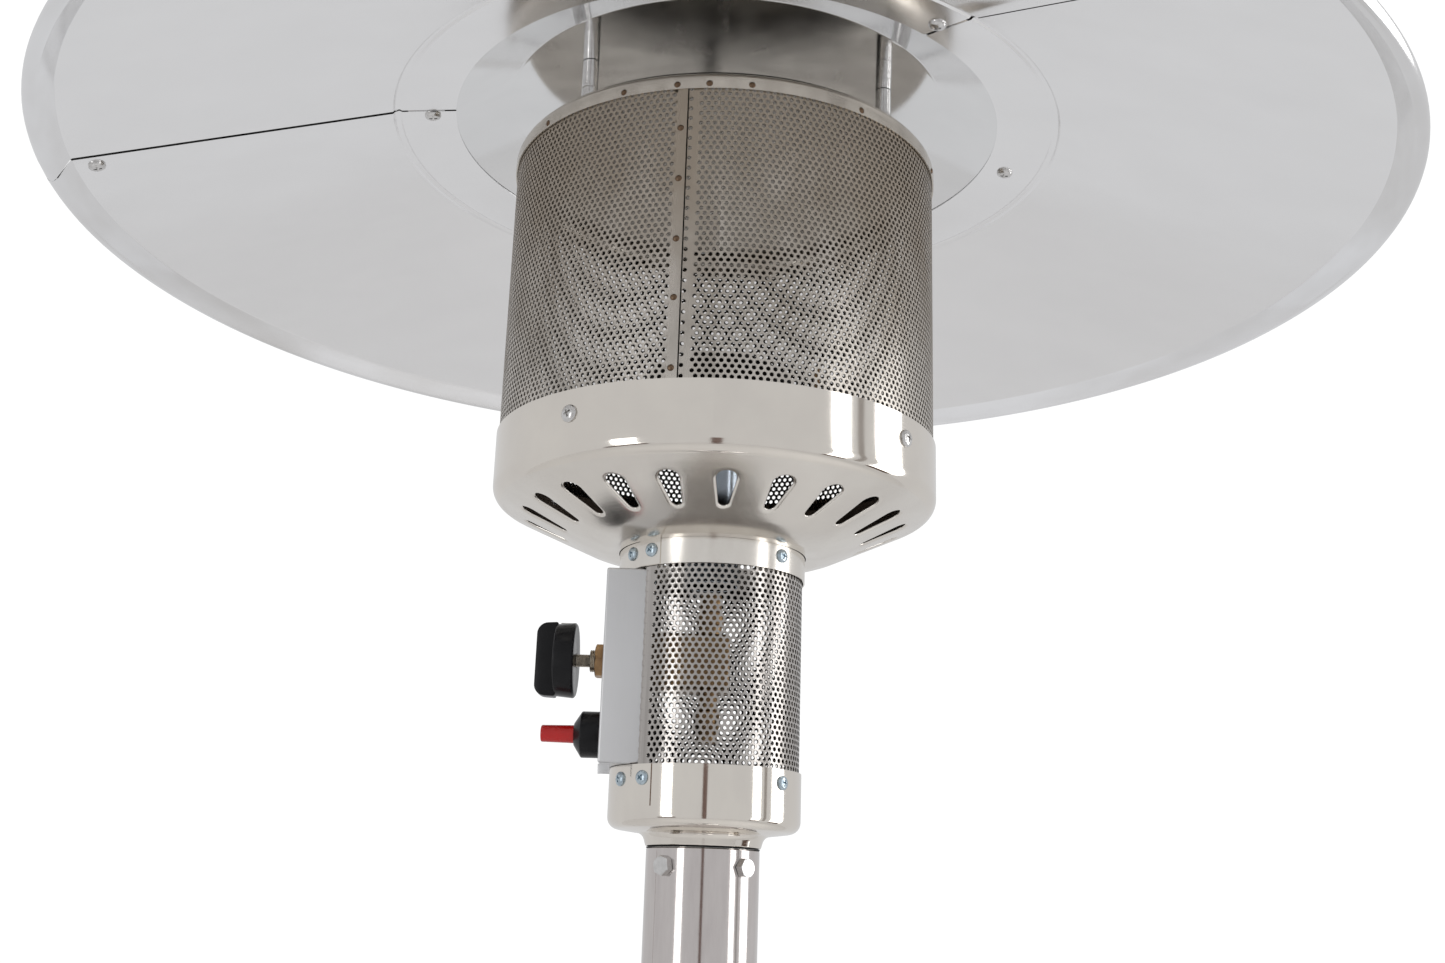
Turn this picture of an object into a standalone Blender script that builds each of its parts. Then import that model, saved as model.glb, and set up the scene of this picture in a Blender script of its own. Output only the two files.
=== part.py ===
"""A free-standing gas patio heater: base, bottle housing, post, control section, burner and reflector.

Metres, +Z up. The origin is on the floor under the post. The control box faces -X, the wheels are at +Y.
Azimuths are in degrees from -Y, growing towards +X.
"""

import math

import bmesh
import bpy
from mathutils import Matrix, Vector

# Driving sizes
GAP = 0.0003  # between pieces that touch
SHEET = 0.0008  # sheet metal of the head
HEAD_Z = 1.930  # height of the burner pan's lower bend: heights in the head count from it

# Reflector
CURL_R = 0.4018  # centre of the rolled hem
CURL_Z = 0.1752
CURL_RADIUS = 0.0042
CREASE = (0.3896, 0.1815)
BEAD = (0.2059, 0.2364)
HOLE = (0.1707, 0.2421)
PANELS = 3
PANEL_STEPS = 16
SEAM_AZIMUTH = -79.5
SEAM_GAP_DEG = 0.12
LAP_WIDTH_DEG = 3.2
LAP_LIFT = SHEET + GAP
PLATE_R = 0.1368  # flat middle of the centre plate
PLATE_Z = 0.2585
PLATE_FLANGE_R = 0.2000
SEAM_SCREW_R = 0.3780
RING_SCREW_R = 0.1850
RING_SCREWS = 6
SCREW_PAST_SEAM = -1.7  # degrees from the seam to its screws
STUD_PLACE_R = 0.1040
STUD_AZIMUTH = -52.0
STUD_R = 0.00485

# Emitter and burner pan
DRUM_R = 0.1300
CAP_R = 0.1312
CAP_Z = 0.2174
BAND_R = 0.1315
BAND_TOP = 0.0360
BEND_RADIUS = 0.0090
BEND_Z = 0.0045
PAN_SLOPE = 25.1
SLOTS = 22
SLOT_AZIMUTH = 4.1
SLOT_INNER = (0.0905, 0.0031)  # centre radius and half width of the narrow end
SLOT_OUTER = (0.1083, 0.0057)
PAN_SCREW_Z = 0.0223
PAN_SCREW_AZIMUTHS = (-36.0, 53.5, 144.0, 233.5)
TUBE_R = 0.0160
TUBE_TOP = 0.0460

# Control section
NECK_R = 0.0549
NECK_BOTTOM = -0.0455
SCREEN_R = 0.0534
SCREEN_TOP = -0.0300
SCREEN_BOTTOM = -0.1620
COLLAR_R = 0.0547
COLLAR_TOP = -0.1560
BOX_FRONT = 0.0589
BOX_HALF = 0.0375
BOX_WALL = 0.0010
BOX_TOP = -0.0462
BOX_BOTTOM = -0.1556
KNOB_Z = -0.0942
IGNITER_Z = -0.1367

# Post
POST_R = 0.0320
POST_WALL = 0.0015
POST_TOP = -0.1990
SLEEVE_R = 0.0300
SLEEVE_BOTTOM = -0.2260
POST_BOLT_Z = -0.2090
POST_BOLT_AZIMUTHS = (-38.0, 45.0, 142.0, 225.0)

# Base and bottle housing, in heights from the floor
BASE_R = 0.2300
DECK_Z = 0.0340
FLANGE_R = 0.0700
FLANGE_Z = 0.5440
FLANGE_THICK = 0.0040
SOCKET_TOP = 0.6200
LEG_R = 0.1820
LEG_THICK = 0.0040
LEG_WIDTH = 0.0300
LEG_AZIMUTHS = (60.0, 180.0, 300.0)
HOUSING_R = 0.1965
HOUSING_TOP = 0.5150
COVER_R = 0.1985
WHEEL_R = 0.0500
WHEEL_X = 0.0960
AXLE_Y = 0.2680
AXLE_Z = 0.0520
AXLE_R = 0.0050

# Finishes: colour, roughness, metallic
POLISHED = ((0.72, 0.70, 0.67), 0.16, 1.0)
MIRROR = ((0.80, 0.80, 0.81), 0.12, 1.0)
HEATED = ((0.42, 0.38, 0.34), 0.32, 1.0)
SHEET_STEEL = ((0.60, 0.60, 0.62), 0.35, 1.0)
ZINC = ((0.55, 0.58, 0.62), 0.28, 1.0)
BRASS = ((0.62, 0.45, 0.22), 0.35, 1.0)
BLACK = ((0.02, 0.02, 0.02), 0.35, 0.0)
RED = ((0.62, 0.02, 0.02), 0.30, 0.0)
RUBBER = ((0.03, 0.03, 0.03), 0.70, 0.0)
CERAMIC = ((0.85, 0.83, 0.78), 0.40, 0.0)

OUT_OF_BOX = Vector((-1, 0, 0))
UP = Vector((0, 0, 1))


def clear_scene():
    for obj in list(bpy.data.objects):
        bpy.data.objects.remove(obj, do_unlink=True)


def new_collection(name):
    made = bpy.data.collections.new(name)
    bpy.context.scene.collection.children.link(made)
    return made


def new_frame(name, z):
    frame = bpy.data.objects.new(name, None)
    frame.location.z = z
    parts.objects.link(frame)
    return frame


def radial(azimuth):
    a = math.radians(azimuth)
    return Vector((math.sin(a), -math.cos(a), 0))


def polar(radius, azimuth, z):
    return radial(azimuth) * radius + UP * z


def paint(obj, finish):
    colour, roughness, metallic = finish
    material = bpy.data.materials.new(obj.name)
    material.use_nodes = True
    shader = material.node_tree.nodes["Principled BSDF"]
    shader.inputs["Base Color"].default_value = (*colour, 1)
    shader.inputs["Roughness"].default_value = roughness
    shader.inputs["Metallic"].default_value = metallic
    obj.data.materials.append(material)


def mesh_object(name, bm, finish=None, parent=None):
    """Puts a bmesh in the parts collection, or with no finish in the cutters."""
    mesh = bpy.data.meshes.new(name)
    bm.to_mesh(mesh)
    bm.free()
    obj = bpy.data.objects.new(name, mesh)
    obj.parent = parent
    if finish:
        parts.objects.link(obj)
        paint(obj, finish)
    else:
        cutters.objects.link(obj)
        obj.hide_render = True
        obj.display_type = "WIRE"
    return obj


def aim(obj, place, direction):
    """Moves obj to place and turns its own +Z to direction."""
    obj.location = place
    obj.rotation_euler = direction.to_track_quat("Z", "Y").to_euler()
    return obj


def outline_mesh(points, closed):
    """Edges through (radius, height) points, in the XZ plane."""
    bm = bmesh.new()
    verts = [bm.verts.new((r, 0, z)) for r, z in points]
    for a, b in zip(verts, verts[1:]):
        bm.edges.new((a, b))
    if closed:
        bm.edges.new((verts[-1], verts[0]))
    return bm


def add_screw(obj, steps, sweep=360.0):
    screw = obj.modifiers.new("Turn", "SCREW")
    screw.angle = math.radians(sweep)
    screw.steps = steps
    screw.render_steps = steps
    screw.use_merge_vertices = True
    screw.merge_threshold = 0.00001


def turned(name, points, steps, finish, parent=None):
    """A solid of revolution. Points run down the outer side: from axis to axis, or round a closed ring."""
    on_axis = points[0][0] == 0 and points[-1][0] == 0
    obj = mesh_object(name, outline_mesh(points, not on_axis), finish, parent)
    add_screw(obj, steps)
    return obj


def thicken(obj, thickness, offset=-1.0):
    solid = obj.modifiers.new("Sheet", "SOLIDIFY")
    solid.thickness = thickness
    solid.offset = offset
    solid.use_even_offset = True


def shell(name, points, steps, finish, parent=None, thickness=SHEET, start=90.0, sweep=360.0):
    """Turned sheet metal. Points run down the outer side, and the thickness goes inwards."""
    obj = mesh_object(name, outline_mesh(points, False), finish, parent)
    add_screw(obj, steps, sweep)
    thicken(obj, thickness)
    obj.rotation_euler.z = math.radians(start - 90.0)
    return obj


def arc(centre, radius, start, end, steps):
    """Points on an arc in the radius and height plane, angles in degrees from outwards."""
    angles = [math.radians(start + (end - start) * i / steps) for i in range(steps + 1)]
    return [(centre[0] + radius * math.cos(a), centre[1] + radius * math.sin(a)) for a in angles]


def combine(obj, other, operation):
    boolean = obj.modifiers.new(other.name, "BOOLEAN")
    boolean.operation = operation
    boolean.solver = "EXACT"
    boolean.object = other


def drill(obj, places, radius, length=0.012, segments=8):
    """Cuts a round hole through obj at each (place, direction), in its parent's frame."""
    bm = bmesh.new()
    for place, direction in places:
        turn = direction.to_track_quat("Z", "Y").to_matrix().to_4x4()
        bmesh.ops.create_cone(bm, cap_ends=True, segments=segments, radius1=radius, radius2=radius,
                              depth=length, matrix=Matrix.Translation(place) @ turn)
    combine(obj, mesh_object(obj.name + "_holes", bm, parent=obj.parent), "DIFFERENCE")


def block(name, low, high, finish=None, parent=None):
    low, high = Vector(low), Vector(high)
    spread = Matrix.Diagonal((*(high - low), 1))
    bm = bmesh.new()
    bmesh.ops.create_cube(bm, size=1, matrix=Matrix.Translation((low + high) / 2) @ spread)
    return mesh_object(name, bm, finish, parent)


def strip(name, points, width, thickness, azimuth, finish, parent=None):
    """A flat bar bent along (radius, height) points, standing at an azimuth."""
    bm = bmesh.new()
    rows = [[bm.verts.new((r, side * width / 2, z)) for side in (1, -1)] for r, z in points]
    for (a, b), (c, d) in zip(rows, rows[1:]):
        bm.faces.new((a, b, d, c))
    obj = mesh_object(name, bm, finish, parent)
    obj.rotation_euler.z = math.radians(azimuth - 90.0)
    thicken(obj, thickness, offset=0.0)
    return obj


def pan_screw_points(head_r, head_h, shank_r, length, nut_at=None):
    """Outline of a pan-head screw with its seat at height 0, and a nut nut_at below the seat."""
    points = [(0, head_h), (head_r * 0.62, head_h * 0.88), (head_r, head_h * 0.3), (head_r, 0),
              (shank_r, 0)]
    if nut_at:
        points += [(shank_r, -nut_at), (head_r * 0.8, -nut_at), (head_r * 0.8, -nut_at - 0.0025)]
        points += [(shank_r, -nut_at - 0.0025)]
    return points + [(shank_r, -length), (0, -length)]


def hem_points():
    return arc((CURL_R, CURL_Z), CURL_RADIUS, 105, -135, 4)


def under_normal(azimuth, inner, outer):
    """Direction that the underside faces between two (radius, height) points of the reflector."""
    slope = math.atan2(inner[1] - outer[1], outer[0] - inner[0])
    return -radial(azimuth) * math.sin(slope) - UP * math.cos(slope)


def height_between(radius, inner, outer):
    share = (radius - inner[0]) / (outer[0] - inner[0])
    return inner[1] + share * (outer[1] - inner[1])


def seam_screw_places():
    """(place, direction) of each seam's screw, just past the seam."""
    places = []
    for i in range(PANELS):
        azimuth = SEAM_AZIMUTH + 120.0 * i + SCREW_PAST_SEAM
        z = height_between(SEAM_SCREW_R, BEAD, CREASE)
        places.append((polar(SEAM_SCREW_R, azimuth, z), under_normal(azimuth, BEAD, CREASE)))
    return places


def ring_screw_places():
    places = []
    for i in range(RING_SCREWS):
        azimuth = SEAM_AZIMUTH + SCREW_PAST_SEAM + 60.0 * i
        z = height_between(RING_SCREW_R, HOLE, BEAD)
        places.append((polar(RING_SCREW_R, azimuth, z), under_normal(azimuth, HOLE, BEAD)))
    return places


def reflector_panel(index):
    """One third of the reflector: hem, lip, cone and inner ring, with a lap that lies on the next panel."""
    start = SEAM_AZIMUTH + 120.0 * (index + 1) - SEAM_GAP_DEG
    sweep = 2 * SEAM_GAP_DEG - 120.0
    bm = outline_mesh([*hem_points(), CREASE, BEAD, HOLE], False)
    swept = bmesh.ops.spin(bm, geom=bm.verts[:] + bm.edges[:], axis=UP, cent=(0, 0, 0),
                           angle=math.radians(sweep), steps=PANEL_STEPS)
    last = [e for e in swept["geom_last"] if isinstance(e, bmesh.types.BMEdge)]
    lap = [e for e in last if all(BEAD[0] - GAP < v.co.xy.length < CREASE[0] + GAP for v in e.verts)]
    for turn, lift in ((-2 * SEAM_GAP_DEG, LAP_LIFT), (-LAP_WIDTH_DEG, 0)):
        grown = bmesh.ops.extrude_edge_only(bm, edges=lap)["geom"]
        verts = [v for v in grown if isinstance(v, bmesh.types.BMVert)]
        lap = [e for e in grown if isinstance(e, bmesh.types.BMEdge) and set(e.verts) <= set(verts)]
        about_post = Matrix.Rotation(math.radians(turn), 3, "Z")
        bmesh.ops.rotate(bm, verts=verts, cent=(0, 0, 0), matrix=about_post)
        bmesh.ops.translate(bm, verts=verts, vec=UP * lift)
    bmesh.ops.recalc_face_normals(bm, faces=bm.faces[:])
    bm.normal_update()
    if sum(face.normal.z * face.calc_area() for face in bm.faces) > 0:
        bmesh.ops.reverse_faces(bm, faces=bm.faces[:])
    obj = mesh_object(f"reflector_panel_{index + 1}", bm, MIRROR, head)
    obj.rotation_euler.z = math.radians(start - 90.0)
    thicken(obj, SHEET)
    drill(obj, seam_screw_places() + ring_screw_places(), 0.0024)


def stud_places():
    return [polar(STUD_PLACE_R, STUD_AZIMUTH + 120.0 * i, 0) for i in range(3)]


def reflector_centre_plate():
    """Shallow dish that joins the panels and hangs on the studs."""
    lift = SHEET + GAP
    flange_z = height_between(PLATE_FLANGE_R, HOLE, BEAD) + lift
    points = [(PLATE_FLANGE_R, flange_z), (HOLE[0], HOLE[1] + lift), (PLATE_R, PLATE_Z), (0, PLATE_Z)]
    obj = shell("reflector_centre_plate", points, 36, MIRROR, head)
    drill(obj, ring_screw_places(), 0.0024)
    drill(obj, [(place + UP * PLATE_Z, UP) for place in stud_places()], 0.0034)


def reflector_fasteners():
    """Screws with their nuts at the seams and round the ring, and the studs that carry the centre plate."""
    for kind, places in (("seam_screw", seam_screw_places()), ("ring_screw", ring_screw_places())):
        for i, (place, direction) in enumerate(places):
            points = pan_screw_points(0.0055, 0.0028, 0.0020, 0.0060, nut_at=0.0026)
            screw = turned(f"{kind}_{i + 1}", points, 8, ZINC, head)
            aim(screw, place + direction * GAP, direction)
    bottom, top = CAP_Z + GAP, PLATE_Z - GAP
    points = [(0, 0.2720), (0.0030, 0.2720), (0.0030, top), (STUD_R, top), (STUD_R, bottom),
              (0.0030, bottom), (0.0030, 0.2110), (0, 0.2110)]
    nut_low, nut_high = PLATE_Z + SHEET + GAP, PLATE_Z + SHEET + 0.0085
    nut = [(0.0038, nut_high), (0.0062, nut_high), (0.0062, nut_low), (0.0038, nut_low)]
    for i, place in enumerate(stud_places()):
        turned(f"reflector_stud_{i + 1}", points, 10, ZINC, head).location = place
        turned(f"stud_nut_{i + 1}", nut, 6, ZINC, head).location = place


def pan_screw_places():
    return [(polar(BAND_R, azimuth, PAN_SCREW_Z), radial(azimuth)) for azimuth in PAN_SCREW_AZIMUTHS]


def emitter():
    """Perforated drum and its cap."""
    drum = shell("emitter_screen", [(DRUM_R, 0.2110), (DRUM_R, 0.0100)], 44, HEATED, head)
    drill(drum, pan_screw_places(), 0.0028)
    edge = arc((CAP_R - 0.004, CAP_Z - 0.004), 0.004, 90, 0, 2)
    cap = shell("emitter_cap", [(0, CAP_Z), *edge, (CAP_R, 0.2053)], 44, HEATED, head)
    drill(cap, [(place + UP * CAP_Z, UP) for place in stud_places()], 0.0034)


def slot_cutters(pan):
    """Radial slots with round ends, wider outwards."""
    bm = bmesh.new()
    half_turn = 4
    ends = []
    for (centre, radius), start in ((SLOT_OUTER, -90), (SLOT_INNER, 90)):
        ends += [(centre + r, y) for r, y in arc((0, 0), radius, start, start + 180, half_turn)]
    for i in range(SLOTS):
        turn = Matrix.Rotation(math.radians(SLOT_AZIMUTH - 90.0 + 360.0 * i / SLOTS), 3, "Z")
        verts = [bm.verts.new(turn @ Vector((x, y, -0.045))) for x, y in ends]
        face = bm.faces.new(verts)
        raised = bmesh.ops.extrude_face_region(bm, geom=[face])["geom"]
        raised_verts = [v for v in raised if isinstance(v, bmesh.types.BMVert)]
        bmesh.ops.translate(bm, verts=raised_verts, vec=UP * 0.05)
    bmesh.ops.recalc_face_normals(bm, faces=bm.faces[:])
    combine(pan, mesh_object("slots", bm, parent=head), "DIFFERENCE")


def burner_pan():
    """Band, rounded bend and slotted cone under the emitter."""
    bend = arc((BAND_R - BEND_RADIUS, BEND_Z), BEND_RADIUS, 0, PAN_SLOPE - 90.0, 3)
    cone_r = 0.0780
    cone_z = bend[-1][1] - (bend[-1][0] - cone_r) * math.tan(math.radians(PAN_SLOPE))
    points = [(BAND_R, BAND_TOP), *bend, (cone_r, cone_z), (0.0640, -0.0305), (0.0555, -0.0305)]
    pan = shell("burner_pan", points, 44, POLISHED, head)
    drill(pan, pan_screw_places(), 0.0028)
    slot_cutters(pan)
    for i, (place, direction) in enumerate(pan_screw_places()):
        outline = pan_screw_points(0.0047, 0.0024, 0.0022, 0.0060)
        screw = turned(f"pan_screw_{i + 1}", outline, 8, ZINC, head)
        aim(screw, place + direction * GAP, direction)


def burner():
    """Mixing tube and burner head inside the emitter, with the pilot bracket, sensor and electrode."""
    wall = 0.0015
    tube = [(TUBE_R, TUBE_TOP), (TUBE_R, -0.0480), (TUBE_R - wall, -0.0480), (TUBE_R - wall, TUBE_TOP)]
    turned("burner_tube", tube, 20, ZINC, head)
    points = [(0, 0.0900), (0.0300, 0.0880), (0.0450, 0.0800), (0.0450, 0.0500), (0.0190, 0.0465)]
    shell("burner_head", points, 20, HEATED, head, thickness=0.001)
    shelf_z, out = 0.0660, 0.0600
    shelf = [(0.0466, 0.0520), (0.0466, shelf_z), (0.0740, shelf_z)]
    bracket = strip("pilot_bracket", shelf, 0.0280, 0.0012, 90.0, SHEET_STEEL, head)
    places = {"thermocouple": Vector((out, -0.0070, 0)), "spark_electrode": Vector((out, 0.0070, 0))}
    drill(bracket, [(place + UP * shelf_z, UP) for place in places.values()], 0.0028)
    rod = [(0, 0.0880), (0.0016, 0.0870), (0.0016, 0.0680), (0.0022, 0.0680), (0.0022, 0.0400), (0, 0.0400)]
    for name, place in places.items():
        turned(name, rod, 8, CERAMIC if name == "spark_electrode" else BRASS, head).location = place


def control_covers():
    """Ring under the pan, perforated screen open towards the box, and the collar on the post."""
    neck = [(0.0685, -0.0270), (NECK_R, -0.0270), (NECK_R, NECK_BOTTOM)]
    shell("neck_ring", neck, 36, POLISHED, head)
    opening = 2 * math.degrees(math.asin((BOX_HALF + 2 * GAP) / (SCREEN_R - SHEET)))
    shell("control_screen", [(SCREEN_R, SCREEN_TOP), (SCREEN_R, SCREEN_BOTTOM)], 28, POLISHED, head,
          start=opening / 2 - 90.0, sweep=360.0 - opening)
    points = [(COLLAR_R, COLLAR_TOP), (COLLAR_R, -0.1800), (0.0525, -0.1855), (0.0475, -0.1890),
              (0.0400, -0.1900), (0.0350, -0.1925), (0.0322, -0.1970), (SLEEVE_R, -0.1980),
              (SLEEVE_R, SLEEVE_BOTTOM)]
    collar = shell("lower_collar", points, 32, POLISHED, head)
    drill(collar, post_bolt_places(), 0.0032)


def control_box():
    """Tray of bent sheet, open towards the screen, with a flange below its front."""
    deep = -0.0340
    box = block("control_box", (-BOX_FRONT, -BOX_HALF, BOX_BOTTOM), (deep, BOX_HALF, BOX_TOP),
                SHEET_STEEL, head)
    flange = block("box_flange", (-BOX_FRONT, -BOX_HALF, -0.1640),
                   (-BOX_FRONT + BOX_WALL, BOX_HALF, -0.1500), parent=head)
    combine(box, flange, "UNION")
    inner = BOX_HALF - BOX_WALL
    room = block("box_room", (-BOX_FRONT + BOX_WALL, -inner, BOX_BOTTOM + BOX_WALL),
                 (deep + 0.01, inner, BOX_TOP - BOX_WALL), parent=head)
    combine(box, room, "DIFFERENCE")
    drill(box, [(Vector((-BOX_FRONT, 0, KNOB_Z)), OUT_OF_BOX)], 0.0070, segments=16)
    drill(box, [(Vector((-BOX_FRONT, 0, IGNITER_Z)), OUT_OF_BOX)], 0.0094, segments=16)


def on_box_axis(obj, z):
    """Sets a turned piece on an axis out of the box's front; its heights are distances from the post."""
    return aim(obj, Vector((0, 0, z)), OUT_OF_BOX)


def gas_valve():
    """Valve body with its bushing, outlet and inlet, and the nut that holds it to the box."""
    bushing_end, bore, bore_end = 0.0690, 0.0044, 0.0500
    bushing = [(bore, bushing_end), (0.00645, bushing_end), (0.00645, 0.0300), (0, 0.0300), (0, bore_end),
               (bore, bore_end)]
    valve = turned("gas_valve", bushing, 16, BRASS, head)
    on_box_axis(valve, KNOB_Z)
    body = block("valve_block", (-0.0340, -0.0140, KNOB_Z - 0.0160), (0.0120, 0.0140, KNOB_Z + 0.0160),
                 parent=head)
    combine(valve, body, "UNION")
    pipes = {"valve_outlet": (0.0080, -0.0540, -0.0800), "valve_inlet": (0.0070, -0.1080, -0.1400)}
    for name, (radius, high, low) in pipes.items():
        pipe = turned(name, [(0, high), (radius, high), (radius, low), (0, low)], 12, None, head)
        combine(valve, pipe, "UNION")
    near, far = BOX_FRONT + GAP, 0.0660
    hexagon = [(0.0079, far), (0.01212, far), (0.01212, near), (0.0079, near)]
    nut = turned("valve_nut", hexagon, 6, BRASS, head)
    on_box_axis(nut, KNOB_Z)


def control_knob():
    """Stem that pushes into the valve, and the knob that turns on it."""
    rod = [(0, 0.0885), (0.0037, 0.0885), (0.0037, 0.0575), (0, 0.0575)]
    stem = turned("valve_stem", rod, 12, BRASS, head)
    on_box_axis(stem, KNOB_Z)
    back, front, radius = 0.0772, 0.1006, 0.0218
    points = [(0, front), (0.0150, front), (0.0200, front - 0.0025), (radius, front - 0.0065),
              (radius, back + 0.0010), (radius - 0.0010, back), (0.0042, back), (0.0042, 0.0892),
              (0, 0.0892)]
    on_box_axis(turned("control_knob", points, 24, BLACK, head), KNOB_Z)


def igniter():
    """Push-button spark igniter: body clamped in the box, and its button."""
    bore, bore_end, front = 0.0056, 0.0560, 0.0761
    seat = BOX_FRONT + GAP
    body = [(bore, front), (0.0062, front), (0.0132, 0.0717), (0.0132, seat), (0.0088, seat),
            (0.0088, 0.0250), (0, 0.0250), (0, bore_end), (bore, bore_end)]
    on_box_axis(turned("igniter_body", body, 20, BLACK, head), IGNITER_Z)
    button = [(0, 0.0952), (0.0046, 0.0952), (0.00515, 0.0946), (0.00515, 0.0640), (0, 0.0640)]
    on_box_axis(turned("igniter_button", button, 16, RED, head), IGNITER_Z)


def tilt_switch():
    switch = block("tilt_switch", (0.0380, -0.0080, -0.1500), (0.0510, 0.0080, -0.1150), BLACK, head)
    bevel = switch.modifiers.new("Round", "BEVEL")
    bevel.width = 0.0015
    bevel.segments = 1


def post_bolt_places():
    return [(polar(POST_R, azimuth, POST_BOLT_Z), radial(azimuth)) for azimuth in POST_BOLT_AZIMUTHS]


def post():
    """Tube from the flange on the legs up to the collar, with the bolts that hold the collar's sleeve."""
    inner, low = POST_R - POST_WALL, FLANGE_Z + FLANGE_THICK + GAP - HEAD_Z
    wall = [(POST_R, POST_TOP), (POST_R, low), (inner, low), (inner, POST_TOP)]
    tube = turned("post", wall, 32, POLISHED, head)
    drill(tube, post_bolt_places(), 0.0032)
    points = [(0, 0.0040), (0.0045, 0.0040), (0.0055, 0.0032), (0.0055, 0), (0.0028, 0), (0.0028, -0.0110),
              (0, -0.0110)]
    for i, (place, direction) in enumerate(post_bolt_places()):
        aim(turned(f"post_bolt_{i + 1}", points, 6, ZINC, head), place + direction * GAP, direction)


def base():
    """Pressed steel foot with a flat deck and a turned-in lip."""
    points = [(0, DECK_Z), (0.2010, DECK_Z), (0.2130, 0.0290), (0.2260, 0.0225), (BASE_R, 0.0165),
              (BASE_R, 0.0020), (BASE_R - 0.0020, 0), (0.2060, 0)]
    shell("base_plate", points, 36, SHEET_STEEL, thickness=0.0022)


def supports():
    """Legs inside the housing, and the flange with the socket that the post stands on."""
    foot_z = DECK_Z + GAP + LEG_THICK / 2
    tab_z = FLANGE_Z - GAP - LEG_THICK / 2
    points = [(0.1560, foot_z), (LEG_R, foot_z), (LEG_R, 0.5000), (0.0660, tab_z), (0.0400, tab_z)]
    for i, azimuth in enumerate(LEG_AZIMUTHS):
        strip(f"support_leg_{i + 1}", points, LEG_WIDTH, LEG_THICK, azimuth, SHEET_STEEL)
    top = FLANGE_Z + FLANGE_THICK
    wall = 0.0015
    points = [(SLEEVE_R, SOCKET_TOP), (SLEEVE_R, top), (FLANGE_R, top), (FLANGE_R, FLANGE_Z),
              (SLEEVE_R - wall, FLANGE_Z), (SLEEVE_R - wall, SOCKET_TOP)]
    turned("post_flange", points, 28, SHEET_STEEL)


def housing():
    """Bottle housing that stands on the deck, and its cover round the post; both lift together."""
    shell("tank_housing", [(HOUSING_R, HOUSING_TOP), (HOUSING_R, DECK_Z + GAP)], 44, POLISHED)
    points = [(0.0360, 0.6060), (0.0460, 0.6010), (0.1800, 0.5320), (0.1950, 0.5235), (COVER_R, 0.5185),
              (COVER_R, 0.5000)]
    shell("housing_cover", points, 36, POLISHED)


def wheels():
    """Two wheels on an axle behind the base, just clear of the floor until the heater is tipped."""
    ear_x, ear_thick, front, back, low, high = 0.0780, 0.0030, 0.2304, 0.2800, 0.0120, 0.0640
    bracket = block("wheel_bracket", (-ear_x - ear_thick, front, low), (ear_x + ear_thick, back, high),
                    SHEET_STEEL)
    room = block("bracket_room", (-ear_x, front + ear_thick, low - 0.01), (ear_x, back + 0.01, high + 0.01))
    combine(bracket, room, "DIFFERENCE")
    right = Vector((1, 0, 0))
    axle_place = Vector((0, AXLE_Y, AXLE_Z))
    drill(bracket, [(axle_place, right)], AXLE_R + 0.0005, length=0.3, segments=12)
    end = WHEEL_X + 0.0190
    axle = turned("wheel_axle", [(0, end), (AXLE_R, end), (AXLE_R, -end), (0, -end)], 12, ZINC)
    aim(axle, axle_place, right)
    half, bore = 0.0120, AXLE_R + 0.0007
    wheel = [(bore, half), (0.0130, half), (0.0150, 0.0050), (0.0380, 0.0050), (0.0400, 0.0110),
             (0.0460, 0.0110), (WHEEL_R, 0.0070), (WHEEL_R, -0.0070), (0.0460, -0.0110), (0.0400, -0.0110),
             (0.0380, -0.0050), (0.0150, -0.0050), (0.0130, -half), (bore, -half)]
    cap = [(0, 0.0115), (0.0060, 0.0105), (0.0090, 0.0060), (0.0090, 0.0006), (AXLE_R + 0.0004, 0.0006),
           (AXLE_R + 0.0004, 0.0080), (0, 0.0080)]
    for side, name in ((-1, "left"), (1, "right")):
        place = axle_place + right * side * WHEEL_X
        aim(turned(f"wheel_{name}", wheel, 20, RUBBER), place, right)
        aim(turned(f"wheel_cap_{name}", cap, 12, BLACK), place + right * side * half, right * side)


clear_scene()
parts = new_collection("outdoor_heater")
cutters = new_collection("cutters")
head = new_frame("head_frame", HEAD_Z)

for panel_index in range(PANELS):
    reflector_panel(panel_index)
reflector_centre_plate()
reflector_fasteners()
emitter()
burner_pan()
burner()
control_covers()
control_box()
gas_valve()
control_knob()
igniter()
tilt_switch()
post()
base()
supports()
housing()
wheels()
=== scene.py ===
"""Looks of a gas patio heater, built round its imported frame.

Metres, +Z up. Azimuths are in degrees from -Y, growing towards +X. Every piece is made in the row frame, so
its object stays at the origin, apart from fasteners, which share a mesh and stand on their own seats. Radii
and heights are read from the CAD nodes; what the CAD doesn't hold, such as bends and rims, is given here.
"""

from itertools import product
from math import asin, atan, atan2, ceil, cos, degrees, dist, pi, radians, sin, tan

import bmesh
import bpy
import numpy as np
from mathutils import Matrix, Vector


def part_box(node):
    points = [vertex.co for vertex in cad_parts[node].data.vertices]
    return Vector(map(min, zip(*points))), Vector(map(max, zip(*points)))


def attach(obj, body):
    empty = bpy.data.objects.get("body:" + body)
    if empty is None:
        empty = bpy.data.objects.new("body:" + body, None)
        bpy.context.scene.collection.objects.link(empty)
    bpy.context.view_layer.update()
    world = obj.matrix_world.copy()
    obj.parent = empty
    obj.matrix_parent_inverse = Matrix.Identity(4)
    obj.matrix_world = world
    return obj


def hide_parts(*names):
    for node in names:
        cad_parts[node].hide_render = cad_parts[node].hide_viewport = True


UP = Vector((0, 0, 1))
SHEET = 0.0008
GAP = 0.0003

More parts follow.
